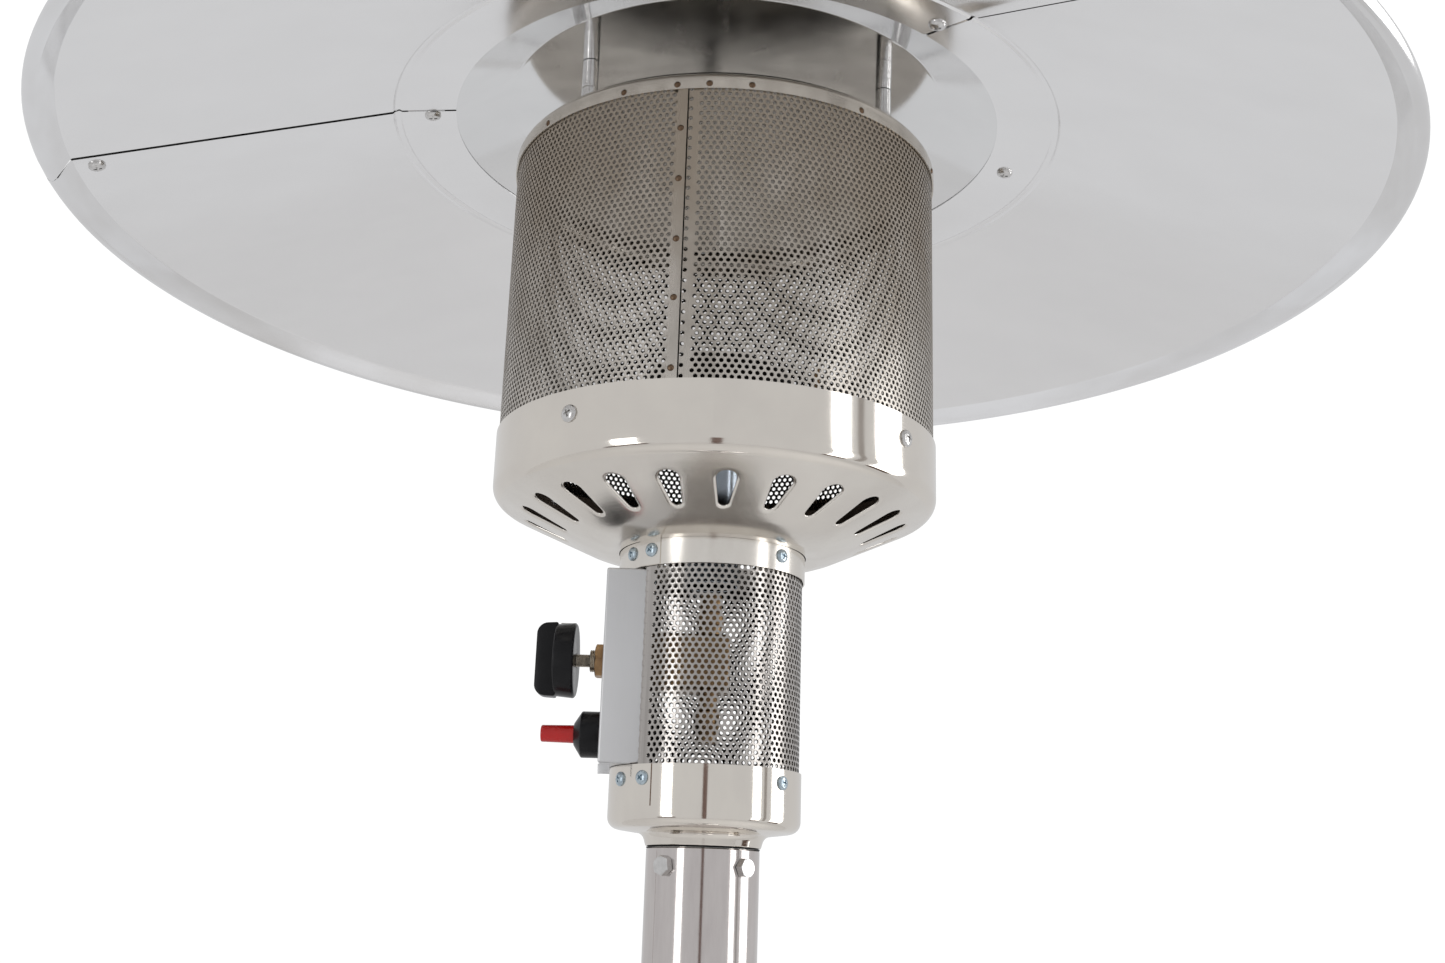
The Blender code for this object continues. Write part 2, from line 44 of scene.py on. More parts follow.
# Reflector
PANELS = 3
SEAM_AZIMUTH = -79.5
SEAM_HALF_GAP = 0.0009
JOGGLE = 0.011  # width of the stepped strip beside each seam
JOGGLE_DROP = 0.0004
LAP_DEG = 3.2
LIP_CREASE = 0.3896
LIP_RUN = 0.015  # how far the seam's corner is cut back across the lip
BEAD_R = 0.2059
BEAD_HEIGHT = 0.0011
HOLE_R = 0.1707
HEM_RADIUS = 0.0042
PLATE_FLAT_R = 0.1368

# Perforated sheets
PITCH_DEG = 360 / 212
ROW = 0.003
HOLE_RADIUS = 0.00128
LIFTS = {"hole": 0.00005, "dimple": -0.0008, "plain": 0}  # of a hole's rim or a dimple's bottom
SCREEN_PITCH_DEG = 360 / 89
SCREEN_MARGIN_DEG = 2.6
DRUM_SEAM = -8.8
DRUM_LAP_DEG = 2.5
DRUM_PIECES = 4
DRUM_MARGIN = {-2: ("dimple", "plain"), -1: ("plain", "plain"), 0: ("hole", "plain"), 1: ("plain", "hole")}

# Burner pan
PAN_SLOPE = 25.1
BEND_RADIUS = 0.009
BEND_DROP = 0.0315  # from the band's top edge to the bend's centre
SLOTS = 22
SLOT_AZIMUTH = 4.1
SLOT_INNER = (0.0905, 0.0031)  # where a slot's end is centred, and its half width
SLOT_OUTER = (0.1083, 0.0057)
SLOTTED = (0.083, 0.1195)  # the part of the cone that the slots take up
RIM_STEPS = ((0.002, 0), (0.0014, 0.00006), (0.0008, 0.00025), (0.00025, 0.0006), (0, 0.0009),
             (0, 0.0012))  # (distance outside the slot, depth)
END_STEPS = 10
SIDE_STEPS = 8

# Control section
SEAM_PROUD = 0.0006  # of the laps of the neck ring and collar
BOX_FLANGE = 0.0084

MATERIALS = {}


# Shapes

def radial(azimuth):
    a = radians(azimuth)
    return Vector((sin(a), -cos(a), 0))


def polar(radius, azimuth, z):
    return radial(azimuth) * radius + UP * z


def on_circle(radius, angle, height):
    """Rows of (x, y, z), with the angle in radians."""
    return np.stack([radius * np.sin(angle), -radius * np.cos(angle), height], axis=1)


def turned_size(node):
    """(outer radius, lowest height, highest height) of a CAD node that is turned about the post's axis."""
    low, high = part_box(node)
    return (high.y - low.y) / 2, low.z, high.z


def seat_of(node):
    """Middle of a CAD node's box, and its azimuth."""
    low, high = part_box(node)
    middle = (low + high) / 2
    return middle, degrees(atan2(middle.x, -middle.y))


def rounded(points, steps=6):
    """Outline with an arc at each inner point that has a third number, its radius."""
    out = []
    for i, point in enumerate(points):
        here = Vector(point[:2])
        if len(point) == 2 or i in (0, len(points) - 1):
            out.append(tuple(here))
            continue
        before = Vector(points[i - 1][:2]) - here
        after = Vector(points[i + 1][:2]) - here
        half = before.angle(after) / 2
        run = min(point[2] / tan(half), 0.49 * before.length, 0.49 * after.length)
        before.normalize()
        after.normalize()
        centre = here + (before + after).normalized() * run * tan(half) / sin(half)
        first = here + before * run - centre
        turn = first.angle_signed(here + after * run - centre)
        for k in range(steps + 1):
            spoke = first.copy()
            spoke.rotate(Matrix.Rotation(-turn * k / steps, 2))
            out.append(tuple(centre + spoke))
    return out


def arc(centre, radius, start, end, steps):
    """Points on an arc in the radius and height plane, angles in degrees from outwards."""
    angles = [radians(start + (end - start) * i / steps) for i in range(steps + 1)]
    return [(centre[0] + radius * cos(a), centre[1] + radius * sin(a)) for a in angles]


def thick_line(points, thickness):
    """Closed outline of sheet metal: the points run down the outer side, and the thickness goes inwards."""
    spots = [Vector(p) for p in points]
    inner = []
    for i, spot in enumerate(spots):
        sides = []
        for a, b in ((i - 1, i), (i, i + 1)):
            if a >= 0 and b < len(spots):
                run = (spots[b] - spots[a]).normalized()
                sides.append(Vector((run.y, -run.x)))
        normal = (sides[0] + sides[-1]).normalized()
        inner.append(tuple(spot + normal * thickness / max(0.3, normal.dot(sides[0]))))
    return [tuple(s) for s in spots] + inner[::-1]


def ring_faces(a, b, n, closed=True):
    """Quads between two rings of n points, whose first points are a and b."""
    return [(a + i, a + (i + 1) % n, b + (i + 1) % n, b + i) for i in range(n if closed else n - 1)]


def shade(mesh, sharp):
    mesh.shade_smooth()
    mesh.set_sharp_from_angle(angle=radians(sharp))


def make_mesh(name, verts, faces, sharp=35, tidy=False):
    mesh = bpy.data.meshes.new(name)
    mesh.from_pydata(np.asarray(verts, float).tolist(), [], faces)
    if tidy:
        bm = bmesh.new()
        bm.from_mesh(mesh)
        bmesh.ops.remove_doubles(bm, verts=bm.verts[:], dist=1e-6)
        bmesh.ops.recalc_face_normals(bm, faces=bm.faces[:])
        bm.to_mesh(mesh)
        bm.free()
    shade(mesh, sharp)
    return mesh


def new_object(name, data, *finishes):
    for finish in finishes:
        data.materials.append(MATERIALS[finish])
    obj = bpy.data.objects.new(name, data)
    bpy.context.scene.collection.objects.link(obj)
    return obj


def lathe_mesh(name, loop, steps=128, start=0, sweep=360, sharp=35):
    """Solid of revolution of a closed outline of (radius, height) points."""
    full = sweep == 360
    count = steps if full else steps + 1
    angles = np.radians(start + sweep * np.arange(count) / steps)
    radius, height = np.array(loop, float).T
    n = len(loop)
    verts = on_circle(np.tile(radius, count), np.repeat(angles, n), np.tile(height, count))
    faces = [face for k in range(steps) for face in ring_faces(k * n, (k + 1) % count * n, n)]
    if not full:
        faces += [tuple(range(n)), tuple(range(steps * n, steps * n + n))]
    return make_mesh(name, verts, faces, sharp, tidy=True)


def lathe(name, loop, finish, **options):
    return new_object(name, lathe_mesh(name, loop, **options), finish)


def turned_sheet(name, points, finish, thickness=SHEET, **options):
    return lathe(name, thick_line(rounded(points), thickness), finish, **options)


def box_mesh(bm, low, high):
    low, high = Vector(low), Vector(high)
    spread = Matrix.Diagonal((*(high - low), 1))
    return bmesh.ops.create_cube(bm, size=1, matrix=Matrix.Translation((low + high) / 2) @ spread)["verts"]


def bmesh_object(name, bm, *finishes):
    mesh = bpy.data.meshes.new(name)
    bm.to_mesh(mesh)
    bm.free()
    return new_object(name, mesh, *finishes)


def configure(thing, **settings):
    for key, value in settings.items():
        setattr(thing, key, value)
    return thing


def settle(obj, sharp=35):
    """Applies the modifiers and shades the result."""
    graph = bpy.context.evaluated_depsgraph_get()
    mesh = bpy.data.meshes.new_from_object(obj.evaluated_get(graph), depsgraph=graph)
    obj.modifiers.clear()
    obj.data = mesh
    shade(mesh, sharp)
    return obj


def join_shape(obj, other, operation):
    configure(obj.modifiers.new("Join", "BOOLEAN"), operation=operation, solver="EXACT", object=other)
    settle(obj)
    bpy.data.objects.remove(other)


def round_edges(obj, width, segments=3, angle=30):
    configure(obj.modifiers.new("Round", "BEVEL"), width=width, segments=segments, limit_method="ANGLE",
              angle_limit=radians(angle))
    return settle(obj)


def rounded_box(name, low, high, finish, width, segments=2):
    bm = bmesh.new()
    box_mesh(bm, low, high)
    return round_edges(bmesh_object(name, bm, finish), width, segments)


def mesh_of(obj):
    """Keeps an object's mesh for sharing, and removes the object."""
    mesh = obj.data
    bpy.data.objects.remove(obj)
    return mesh


def aim(obj, place, direction, spin=0):
    """Sets a shared shape on its seat, with its own +Z along direction."""
    turn = direction.to_track_quat("Z", "Y").to_matrix().to_4x4()
    obj.matrix_world = Matrix.Translation(place) @ turn @ Matrix.Rotation(radians(spin), 4, "Z")
    return obj


def lay_along_x(obj, place, quarter=90):
    """Turns a shape made along +Z to lie along X, and sets it in place."""
    obj.data.transform(Matrix.Translation(place) @ Matrix.Rotation(radians(quarter), 4, "Y"))
    return obj


def add(obj, *nodes, body="stand", slot=None):
    """The piece moves with a body, and may stand for CAD nodes, which it hides. The slot is not used."""
    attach(obj, body)
    if nodes:
        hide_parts(*nodes)


def strip(name, radius, top, bottom, thickness, finish, start, sweep, steps):
    """Narrow piece of sheet that lies on a cylinder."""
    line = thick_line([(radius, top), (radius, bottom)], thickness)
    add(lathe(name, line, finish, steps=steps, start=start, sweep=sweep))


# Materials

def add_node(tree, kind, inputs=None, **settings):
    node = configure(tree.nodes.new("ShaderNode" + kind), **settings)
    for socket, value in (inputs or {}).items():
        if isinstance(value, bpy.types.NodeSocket):
            tree.links.new(value, node.inputs[socket])
        else:
            node.inputs[socket].default_value = value
    return node


def math_node(tree, operation, *values):
    return add_node(tree, "Math", dict(enumerate(values)), operation=operation).outputs[0]


def object_place(tree):
    return add_node(tree, "TexCoord").outputs["Object"]


def around_axis(tree):
    """Object coordinates as (azimuth in radians, radius, height)."""
    x, y, z = add_node(tree, "SeparateXYZ", {0: object_place(tree)}).outputs
    azimuth = math_node(tree, "ARCTAN2", x, y)
    flat = add_node(tree, "CombineXYZ", {0: x, 1: y}).outputs[0]
    radius = add_node(tree, "VectorMath", {0: flat}, operation="LENGTH").outputs["Value"]
    return add_node(tree, "CombineXYZ", {0: azimuth, 1: radius, 2: z}).outputs[0]


def noise(tree, place, stretch, detail=3):
    scaled = add_node(tree, "Mapping", {"Vector": place, "Scale": stretch}).outputs[0]
    return add_node(tree, "TexNoise", {"Vector": scaled, "Scale": 1, "Detail": detail,
                                                 "Roughness": 0.55}).outputs["Fac"]


def ranged(tree, value, low, high, from_low=0.3, from_high=0.7):
    return add_node(tree, "MapRange", {"Value": value, "From Min": from_low, "From Max": from_high,
                                                 "To Min": low, "To Max": high}).outputs[0]


def blend_colours(tree, share, *colours):
    first, second = (c if isinstance(c, bpy.types.NodeSocket) else (*c, 1) for c in colours)
    return add_node(tree, "Mix", {"Factor": share, 6: first, 7: second}, data_type="RGBA").outputs[2]


def new_material(name, **sockets):
    """Adds a material to MATERIALS, and gives its node tree and shader."""
    material = MATERIALS[name] = bpy.data.materials.new(name)
    material.use_nodes = True
    shader = material.node_tree.nodes["Principled BSDF"]
    for socket, value in sockets.items():
        shader.inputs[socket.replace("_", " ")].default_value = value
    return material.node_tree, shader


def finish_surface(tree, shader, colour, roughness, strength, distance, height):
    """Links a colour, a roughness and a bump to the shader."""
    tree.links.new(colour, shader.inputs["Base Color"])
    tree.links.new(roughness, shader.inputs["Roughness"])
    bump = add_node(tree, "Bump", {"Strength": strength, "Distance": distance, "Height": height})
    tree.links.new(bump.outputs[0], shader.inputs["Normal"])


def worn_metal(name, colour, shade, roughness, streak, grain=0.03, turned=True, blotch=(6, 40, 30),
               relief=0.06, scorch=None):
    """Sheet metal: brushing as fine streaks in roughness and bump, and soft blotches: handling marks, and
    painted reflections on the reflector's lip.

    streak is the stretch of the brushing, roughness the range that the blotches cover. scorch is (low, high,
    tint): the tint multiplies the colour from the high end, and fades out towards the low end.
    """
    tree, shader = new_material(name, Metallic=1)
    place = around_axis(tree) if turned else object_place(tree)
    blotches = noise(tree, place, blotch, detail=4)
    streaks = noise(tree, place, streak, detail=2)
    base = blend_colours(tree, ranged(tree, blotches, 0, 1), colour, shade)
    if scorch:
        low, high, tint = scorch
        height = add_node(tree, "SeparateXYZ", {0: object_place(tree)}).outputs[2]
        wander = math_node(tree, "MULTIPLY_ADD", blotches, 0.12, height)
        share = ranged(tree, wander, 0, 1, low + 0.06, high + 0.06)
        base = blend_colours(tree, share, base, tuple(c * t for c, t in zip(colour, tint)))
    rough = math_node(tree, "ADD", ranged(tree, blotches, *roughness), ranged(tree, streaks, -grain, grain))
    finish_surface(tree, shader, base, rough, relief, 0.0002, streaks)


def moulded_plastic(name, colour, roughness, gloss=0.5):
    tree, shader = new_material(name, Specular_IOR_Level=gloss)
    place = object_place(tree)
    fine = noise(tree, place, (1800, 1800, 1800))
    soft = noise(tree, place, (60, 60, 60))
    lighter = [min(1, c * 1.25 + 0.004) for c in colour]
    base = blend_colours(tree, ranged(tree, soft, 0, 1), colour, lighter)
    rough = ranged(tree, soft, roughness - 0.04, roughness + 0.04)
    finish_surface(tree, shader, base, rough, 0.12, 0.0001, fine)


def make_materials():
    pan_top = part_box("burner_pan")[1].z
    rings = (2, 60, 2500)
    uprights = (420, 10, 6)
    rolled = {"turned": False, "blotch": (14, 26, 26), "relief": 0.012}
    bright = {"blotch": (4, 30, 30), "relief": 0.03}
    worn_metal("reflector_sheet", (0.89, 0.885, 0.885), (0.865, 0.86, 0.86), (0.15, 0.2), (9, 700, 700),
               0.01, **rolled)
    # the lip's blotches, bluish white to grey and drawn out round the rim: polish marks and painted
    # reflections
    worn_metal("reflector_lip_polish_and_painted_reflection", (0.95, 0.955, 0.97), (0.68, 0.665, 0.65), (0.08, 0.14), rings, 0.01,
               blotch=(1.7, 9, 20), relief=0.012)
    worn_metal("plate_sheet", (0.82, 0.82, 0.82), (0.78, 0.78, 0.78), (0.07, 0.12), (9, 700, 700),
               0.01, **rolled)
    worn_metal("heated_steel", (0.62, 0.58, 0.53), (0.44, 0.41, 0.37), (0.24, 0.38), uprights, 0.06,
               blotch=(5, 20, 22), scorch=(pan_top + 0.03, pan_top + 0.13, (0.62, 0.57, 0.51)))
    worn_metal("cap_steel", (0.66, 0.615, 0.55), (0.5, 0.46, 0.41), (0.16, 0.26), rings, 0.04,
               blotch=(6, 20, 22))
    # near black: soot on the burner, and painted shade on the insides of the drum and screen and in the
    # seams' gaps
    worn_metal("soot_and_painted_shade_steel", (0.018, 0.016, 0.014), (0.01, 0.009, 0.008), (0.5, 0.65), uprights, 0.04)
    worn_metal("polished_steel", (0.8, 0.755, 0.69), (0.75, 0.705, 0.65), (0.06, 0.11), rings, 0.02, **bright)
    worn_metal("satin_steel", (0.8, 0.765, 0.71), (0.74, 0.7, 0.65), (0.17, 0.23), rings, 0.02, **bright)
    # dark brown for the pan's inside: heat stain and painted shade
    worn_metal("stain_and_painted_shade_steel", (0.1, 0.078, 0.062), (0.06, 0.045, 0.035), (0.42, 0.52), rings, 0.04)
    # blotches drawn out upright, as vertical bands of lighter and darker tone
    worn_metal("screen_steel", (0.56, 0.53, 0.505), (0.33, 0.31, 0.29), (0.17, 0.25), uprights, 0.05,
               blotch=(9, 40, 5))
    worn_metal("post_steel", (0.66, 0.62, 0.6), (0.59, 0.55, 0.535), (0.08, 0.13), rings, 0.02, relief=0.03)
    worn_metal("housing_steel", (0.72, 0.71, 0.7), (0.66, 0.65, 0.64), (0.18, 0.26), (2, 60, 1200),
               0.06)
    worn_metal("box_sheet", (0.66, 0.66, 0.665), (0.62, 0.62, 0.625), (0.36, 0.44), (700, 700, 9),
               turned=False, blotch=(30, 30, 20), relief=0.03)
    worn_metal("chrome_tube", (0.62, 0.68, 0.74), (0.56, 0.62, 0.7), (0.05, 0.1), uprights, 0.02)
    worn_metal("brass", (0.42, 0.27, 0.14), (0.26, 0.16, 0.085), (0.28, 0.42), (90, 90, 90), 0.05,
               turned=False, blotch=(160, 160, 160))
    worn_metal("shaft_steel", (0.56, 0.51, 0.43), (0.4, 0.35, 0.28), (0.22, 0.34), (2500, 60, 60), 0.05,
               turned=False, blotch=(120, 160, 160))
    for name, colour, shade, roughness, spots in (
            ("zinc", (0.56, 0.65, 0.7), (0.38, 0.46, 0.52), (0.16, 0.3), 260),
            ("turned_steel", (0.72, 0.71, 0.7), (0.58, 0.57, 0.56), (0.14, 0.26), 260),
            ("rivet_steel", (0.22, 0.15, 0.1), (0.1, 0.062, 0.04), (0.25, 0.4), 500)):
        worn_metal(name, colour, shade, roughness, (300, 300, 300), 0.04, turned=False,
                   blotch=(spots, spots, spots))
    moulded_plastic("painted_steel", (0.08, 0.08, 0.085), 0.42)
    moulded_plastic("black_plastic", (0.006, 0.006, 0.007), 0.24, gloss=0.18)
    moulded_plastic("red_plastic", (0.45, 0.006, 0.005), 0.3)
    moulded_plastic("wheel_rubber", (0.022, 0.022, 0.022), 0.62)
    moulded_plastic("ceramic", (0.78, 0.75, 0.7), 0.3)


# Fasteners

def phillips_mesh(name, radius, height, finish):
    """Pan-head screw, seat at height 0, with a cross recess whose walls slope in."""
    dome = [(0, height), (radius * 0.35, height * 0.985), (radius * 0.68, height * 0.86),
            (radius * 0.9, height * 0.6), (radius, height * 0.26), (radius * 0.985, 0),
            (radius * 0.5, -0.001), (0, -0.001)]
    head = lathe(name, dome, finish, steps=32, sharp=60)
    length, width = radius * 0.62, radius * 0.13
    for turn in (0, pi / 2):
        bm = bmesh.new()
        verts = box_mesh(bm, (-length, -width, height * 0.3), (length, width, height * 1.2))
        for v in verts:
            if v.co.z < height * 0.8:
                v.co.x *= 0.35
                v.co.y *= 0.7
        bmesh.ops.rotate(bm, verts=verts, cent=(0, 0, 0), matrix=Matrix.Rotation(turn, 3, "Z"))
        join_shape(head, bmesh_object("recess", bm), "DIFFERENCE")
    return mesh_of(head)


def hex_mesh(name, corner, height, finish, bore=0):
    """Hexagon with chamfered corners, seat at height 0, for bolt heads and nuts."""
    bm = bmesh.new()
    bmesh.ops.create_cone(bm, cap_ends=True, segments=6, radius1=corner, radius2=corner, depth=height,
                          matrix=Matrix.Translation(UP * height / 2))
    head = bmesh_object(name, bm, finish)
    flat = corner * cos(pi / 6)
    chamfer = (corner - flat) * 0.7
    wide = corner * 1.02
    top = [(bore, height), (flat * 0.97, height), (wide, height - chamfer)]
    low = [(wide, chamfer if bore else 0), (flat * 0.97 if bore else wide, 0), (bore, 0)]
    join_shape(head, lathe("chamfer", top + low, finish, steps=48), "INTERSECT")
    return mesh_of(settle(head, 25))


def fasten(name, mesh, place, direction, *nodes, spin=0):
    add(aim(new_object(name, mesh), place, direction, spin), *nodes)


def fasten_four(kind, mesh, radius, spin, step):
    """Four fasteners in place of their CAD nodes, facing out from the post's axis."""
    for i in range(4):
        node = f"{kind}_{i + 1}"
        middle, azimuth = seat_of(node)
        place = polar(radius, azimuth, middle.z)
        fasten(f"{kind}_head_{i + 1}", mesh, place, radial(azimuth), node, spin=spin + step * i)


# Reflector

def panels_size():
    """Outer radius and lowest height of the three panels together."""
    boxes = [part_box(f"reflector_panel_{i + 1}") for i in range(PANELS)]
    outer = max(max(-low.x, high.x, -low.y, high.y) for low, high in boxes)
    return outer, min(low.z for low, _ in boxes)


def reflector_profile():
    """Underside from the rolled hem inwards: hem, lip, cone with its bead, and inner ring."""
    outer, low = panels_size()
    curl = (outer - HEM_RADIUS, low + HEM_RADIUS)
    crease = Vector((LIP_CREASE, low + 0.0105))
    bead = Vector((BEAD_R, low + 0.0654))
    hole = (HOLE_R, low + 0.0711)
    slope = (bead - crease).normalized()
    away = Vector((slope.y, -slope.x)) * BEAD_HEIGHT
    ridge = [(*(bead - slope * 0.003), 0.001), (*(bead - slope * 0.0013 + away), 0.0009),
             (*(bead + slope * 0.0013 + away), 0.0009), (*(bead + slope * 0.0026), 0.0008)]
    lip = curl[0] - HEM_RADIUS * 0.71, curl[1] - HEM_RADIUS * 0.71
    return arc(curl, HEM_RADIUS, 105, -135, 14) + rounded([lip, (*crease, 0.004), *ridge, hole], 5)[1:]


def profile_height(profile, radius):
    line = sorted(point for point in profile if point[0] < LIP_CREASE + 0.001)
    return float(np.interp(radius, [p[0] for p in line], [p[1] for p in line]))


def between(points, longest):
    """Points with extra ones, so that no step is longer than the longest."""
    out = [points[0]]
    for a, b in zip(points, points[1:]):
        count = max(1, ceil(dist(a, b) / longest))
        for k in range(1, count + 1):
            out.append((a[0] + (b[0] - a[0]) * k / count, a[1] + (b[1] - a[1]) * k / count))
    return out


def reflector_panel(index):
    """One third of the reflector: a stepped strip along its last edge, under the next panel's lap."""
    start = SEAM_AZIMUTH + 120 * index
    under = between(reflector_profile(), 0.022)
    loop = np.array(thick_line(under, SHEET))
    n = len(loop)
    radius, height = loop.T
    corner = np.clip((radius - LIP_CREASE) / LIP_RUN, 0, 1) * LIP_RUN
    flat = (radius < LIP_CREASE) & (radius > BEAD_R)
    columns = [(radians(start) + (SEAM_HALF_GAP - corner) / radius, height)]
    columns += [(np.full(n, radians(start + 116.4 * k / 72)), height) for k in range(1, 72)]
    end = radians(start + 120)
    for offset, drop in ((JOGGLE + 0.0016, 0), (JOGGLE, 1), (JOGGLE * 0.5, 1), (SEAM_HALF_GAP, 1)):
        shift = corner if offset == SEAM_HALF_GAP else corner * 0.4
        columns.append((end - (offset + shift) / radius, height - JOGGLE_DROP * drop * flat))
    verts = np.concatenate([on_circle(radius, angle, z) for angle, z in columns])
    last = (len(columns) - 1) * n
    faces = [face for a in range(0, last, n) for face in ring_faces(a, a + n, n)]
    faces += [tuple(range(n)), tuple(range(last, last + n))]
    mesh = make_mesh(f"reflector_third_{index + 1}", verts, faces, tidy=True)
    panel = new_object(mesh.name, mesh, "reflector_sheet", "reflector_lip_polish_and_painted_reflection")
    # faces outside the crease take the lip finish, with its painted reflections
    for face in mesh.polygons:
        face.material_index = int(face.center.xy.length > LIP_CREASE)
    add(panel, f"reflector_panel_{index + 1}")
    cone = [(r, z + SHEET + GAP) for r, z in under if BEAD_R + 0.002 < r < LIP_CREASE - 0.002]
    add(lathe(f"seam_lap_{index + 1}", thick_line(cone, SHEET), "reflector_sheet", steps=4,
              start=start + 0.5 - LAP_DEG, sweep=LAP_DEG))
    # near-black strip in the gap under the lap, along the seam: painted shadow
    buried = [(r, z + SHEET + 0.00022) for r, z in under if HOLE_R - 0.001 < r < LIP_CREASE + 0.006]
    add(lathe(f"seam_shadow_{index + 1}", thick_line(buried, 0.00012), "soot_and_painted_shade_steel", steps=2,
              start=start - 0.36, sweep=0.72), slot="reflector_sheet")


def reflector(screw, small_nut):
    """Three panels, the centre plate over their inner ring, and the screws with their nuts."""
    for index in range(PANELS):
        reflector_panel(index)
    profile = reflector_profile()
    flange_r, _, plate_top = turned_size("reflector_centre_plate")
    ring_z = profile[-1][1] + SHEET + GAP
    flat_z = plate_top - SHEET
    points = [(flange_r, ring_z - 0.162 * (flange_r - HOLE_R)), (HOLE_R, ring_z, 0.004),
              (PLATE_FLAT_R, flat_z, 0.006), (0.02, flat_z), (0, flat_z)]
    add(turned_sheet("centre_plate", points, "plate_sheet", steps=144), "reflector_centre_plate")
    for kind, count, drop in (("seam_screw", PANELS, JOGGLE_DROP), ("ring_screw", 6, 0)):
        for i in range(count):
            node = f"{kind}_{i + 1}"
            middle, azimuth = seat_of(node)
            radius = middle.xy.length
            rise = profile_height(profile, radius - 0.01) - profile_height(profile, radius + 0.01)
            tilt = atan(rise / 0.02)
            direction = -radial(azimuth) * sin(tilt) - UP * cos(tilt)
            place = polar(radius, azimuth, profile_height(profile, radius) - drop)
            fasten(node + "_head", screw, place, direction, node, spin=37 * i)
            fasten(node + "_nut", small_nut, place - direction * (SHEET * 2 + GAP), -direction, spin=11 * i)


def studs():
    """Rods that carry the centre plate on the cap, each in two lengths that meet at a joint line."""
    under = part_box("reflector_centre_plate")[1].z - SHEET - GAP
    cap_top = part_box("emitter_cap")[1].z
    joint = cap_top + 0.55 * (under - cap_top)
    core = 0.003
    for i in range(1, 4):
        low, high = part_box(f"reflector_stud_{i}")
        middle, radius = (low + high) / 2, (high.x - low.x) / 2
        neck = radius - 0.0005
        loop = [(0, high.z), (core - 0.0002, high.z), (core, high.z - 0.0006), (core, under), (radius, under),
                (radius, joint + 0.0006), (neck, joint + 0.0003), (neck, joint - 0.0003),
                (radius, joint - 0.0006), (radius, cap_top + 0.0006), (radius - 0.0004, cap_top + GAP),
                (core, cap_top + GAP), (core, low.z), (0, low.z)]
        rod = lathe(f"stud_{i}", loop, "turned_steel", steps=32)
        rod.data.transform(Matrix.Translation((middle.x, middle.y, 0)))
        add(rod, f"reflector_stud_{i}")
        nut_low, nut_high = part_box(f"stud_nut_{i}")
        nut = hex_mesh(f"stud_nut_shape_{i}", 0.0064, nut_high.z - nut_low.z, "zinc", bore=0.0031)
        fasten(f"stud_nut_hex_{i}", nut, Vector((middle.x, middle.y, nut_low.z)), UP, f"stud_nut_{i}")


# Perforated sheets

def perforated_mesh(name, radius, low, rows, pitch_deg, start, columns, margin):
    """Round holes in staggered rows on a cylinder. margin gives the columns where some cells have no hole.

    Each cell is a ring of 8 quads between its own outline and the hole, doubled for the sheet's two sides.
    """
    pitch = radians(pitch_deg) * radius
    spokes = np.radians(np.arange(8) * 45)
    ring = np.stack([np.cos(spokes), np.sin(spokes)], axis=1) * HOLE_RADIUS
    outline = np.sign(np.round(ring / HOLE_RADIUS, 3)) * (pitch / 2, ROW / 2)
    turns = np.arange(8)
    after = np.roll(turns, -1)
    verts, faces, slots = [], [], []
    for column, row in product(columns, range(rows)):
        kind = margin.get(column, ("hole", "hole"))[row % 2]
        middle = np.array([(column + 0.5 * (row % 2)) * pitch, low + (row + 0.5) * ROW])
        rim = ring * (0.7 if kind == "dimple" else 1)
        base = len(verts) * 8
        for flat, r in ((outline, radius), (rim, radius + LIFTS[kind]), (ring, radius - SHEET),
                        (outline, radius - SHEET)):
            across, up = (flat + middle).T
            verts.append(on_circle(r, across / radius + radians(start), up))
        # the inner side takes the second finish, near black where it is used: painted shade of the inside
        for band, slot in ((0, 0), (1, 0), (2, 1)) if kind == "hole" else ((0, 0), (2, 1)):
            a = base + band * 8
            faces.append(np.stack([a + turns, a + after, a + 8 + after, a + 8 + turns], axis=1))
            slots += [slot] * 8
        if kind != "hole":
            for slot, disc in enumerate((base + 8 + turns, base + 16 + turns[::-1])):
                faces.append(disc[[[0, 1, 2, 3], [0, 3, 4, 5], [0, 5, 6, 7]]])
                slots += [slot] * 3
    verts = np.concatenate(verts)
    _, first, index = np.unique(np.round(verts, 7), axis=0, return_index=True, return_inverse=True)
    mesh = make_mesh(name, verts[first], index.reshape(-1)[np.concatenate(faces)].tolist(), 50)
    mesh.polygons.foreach_set("material_index", np.array(slots, np.int32))
    return mesh


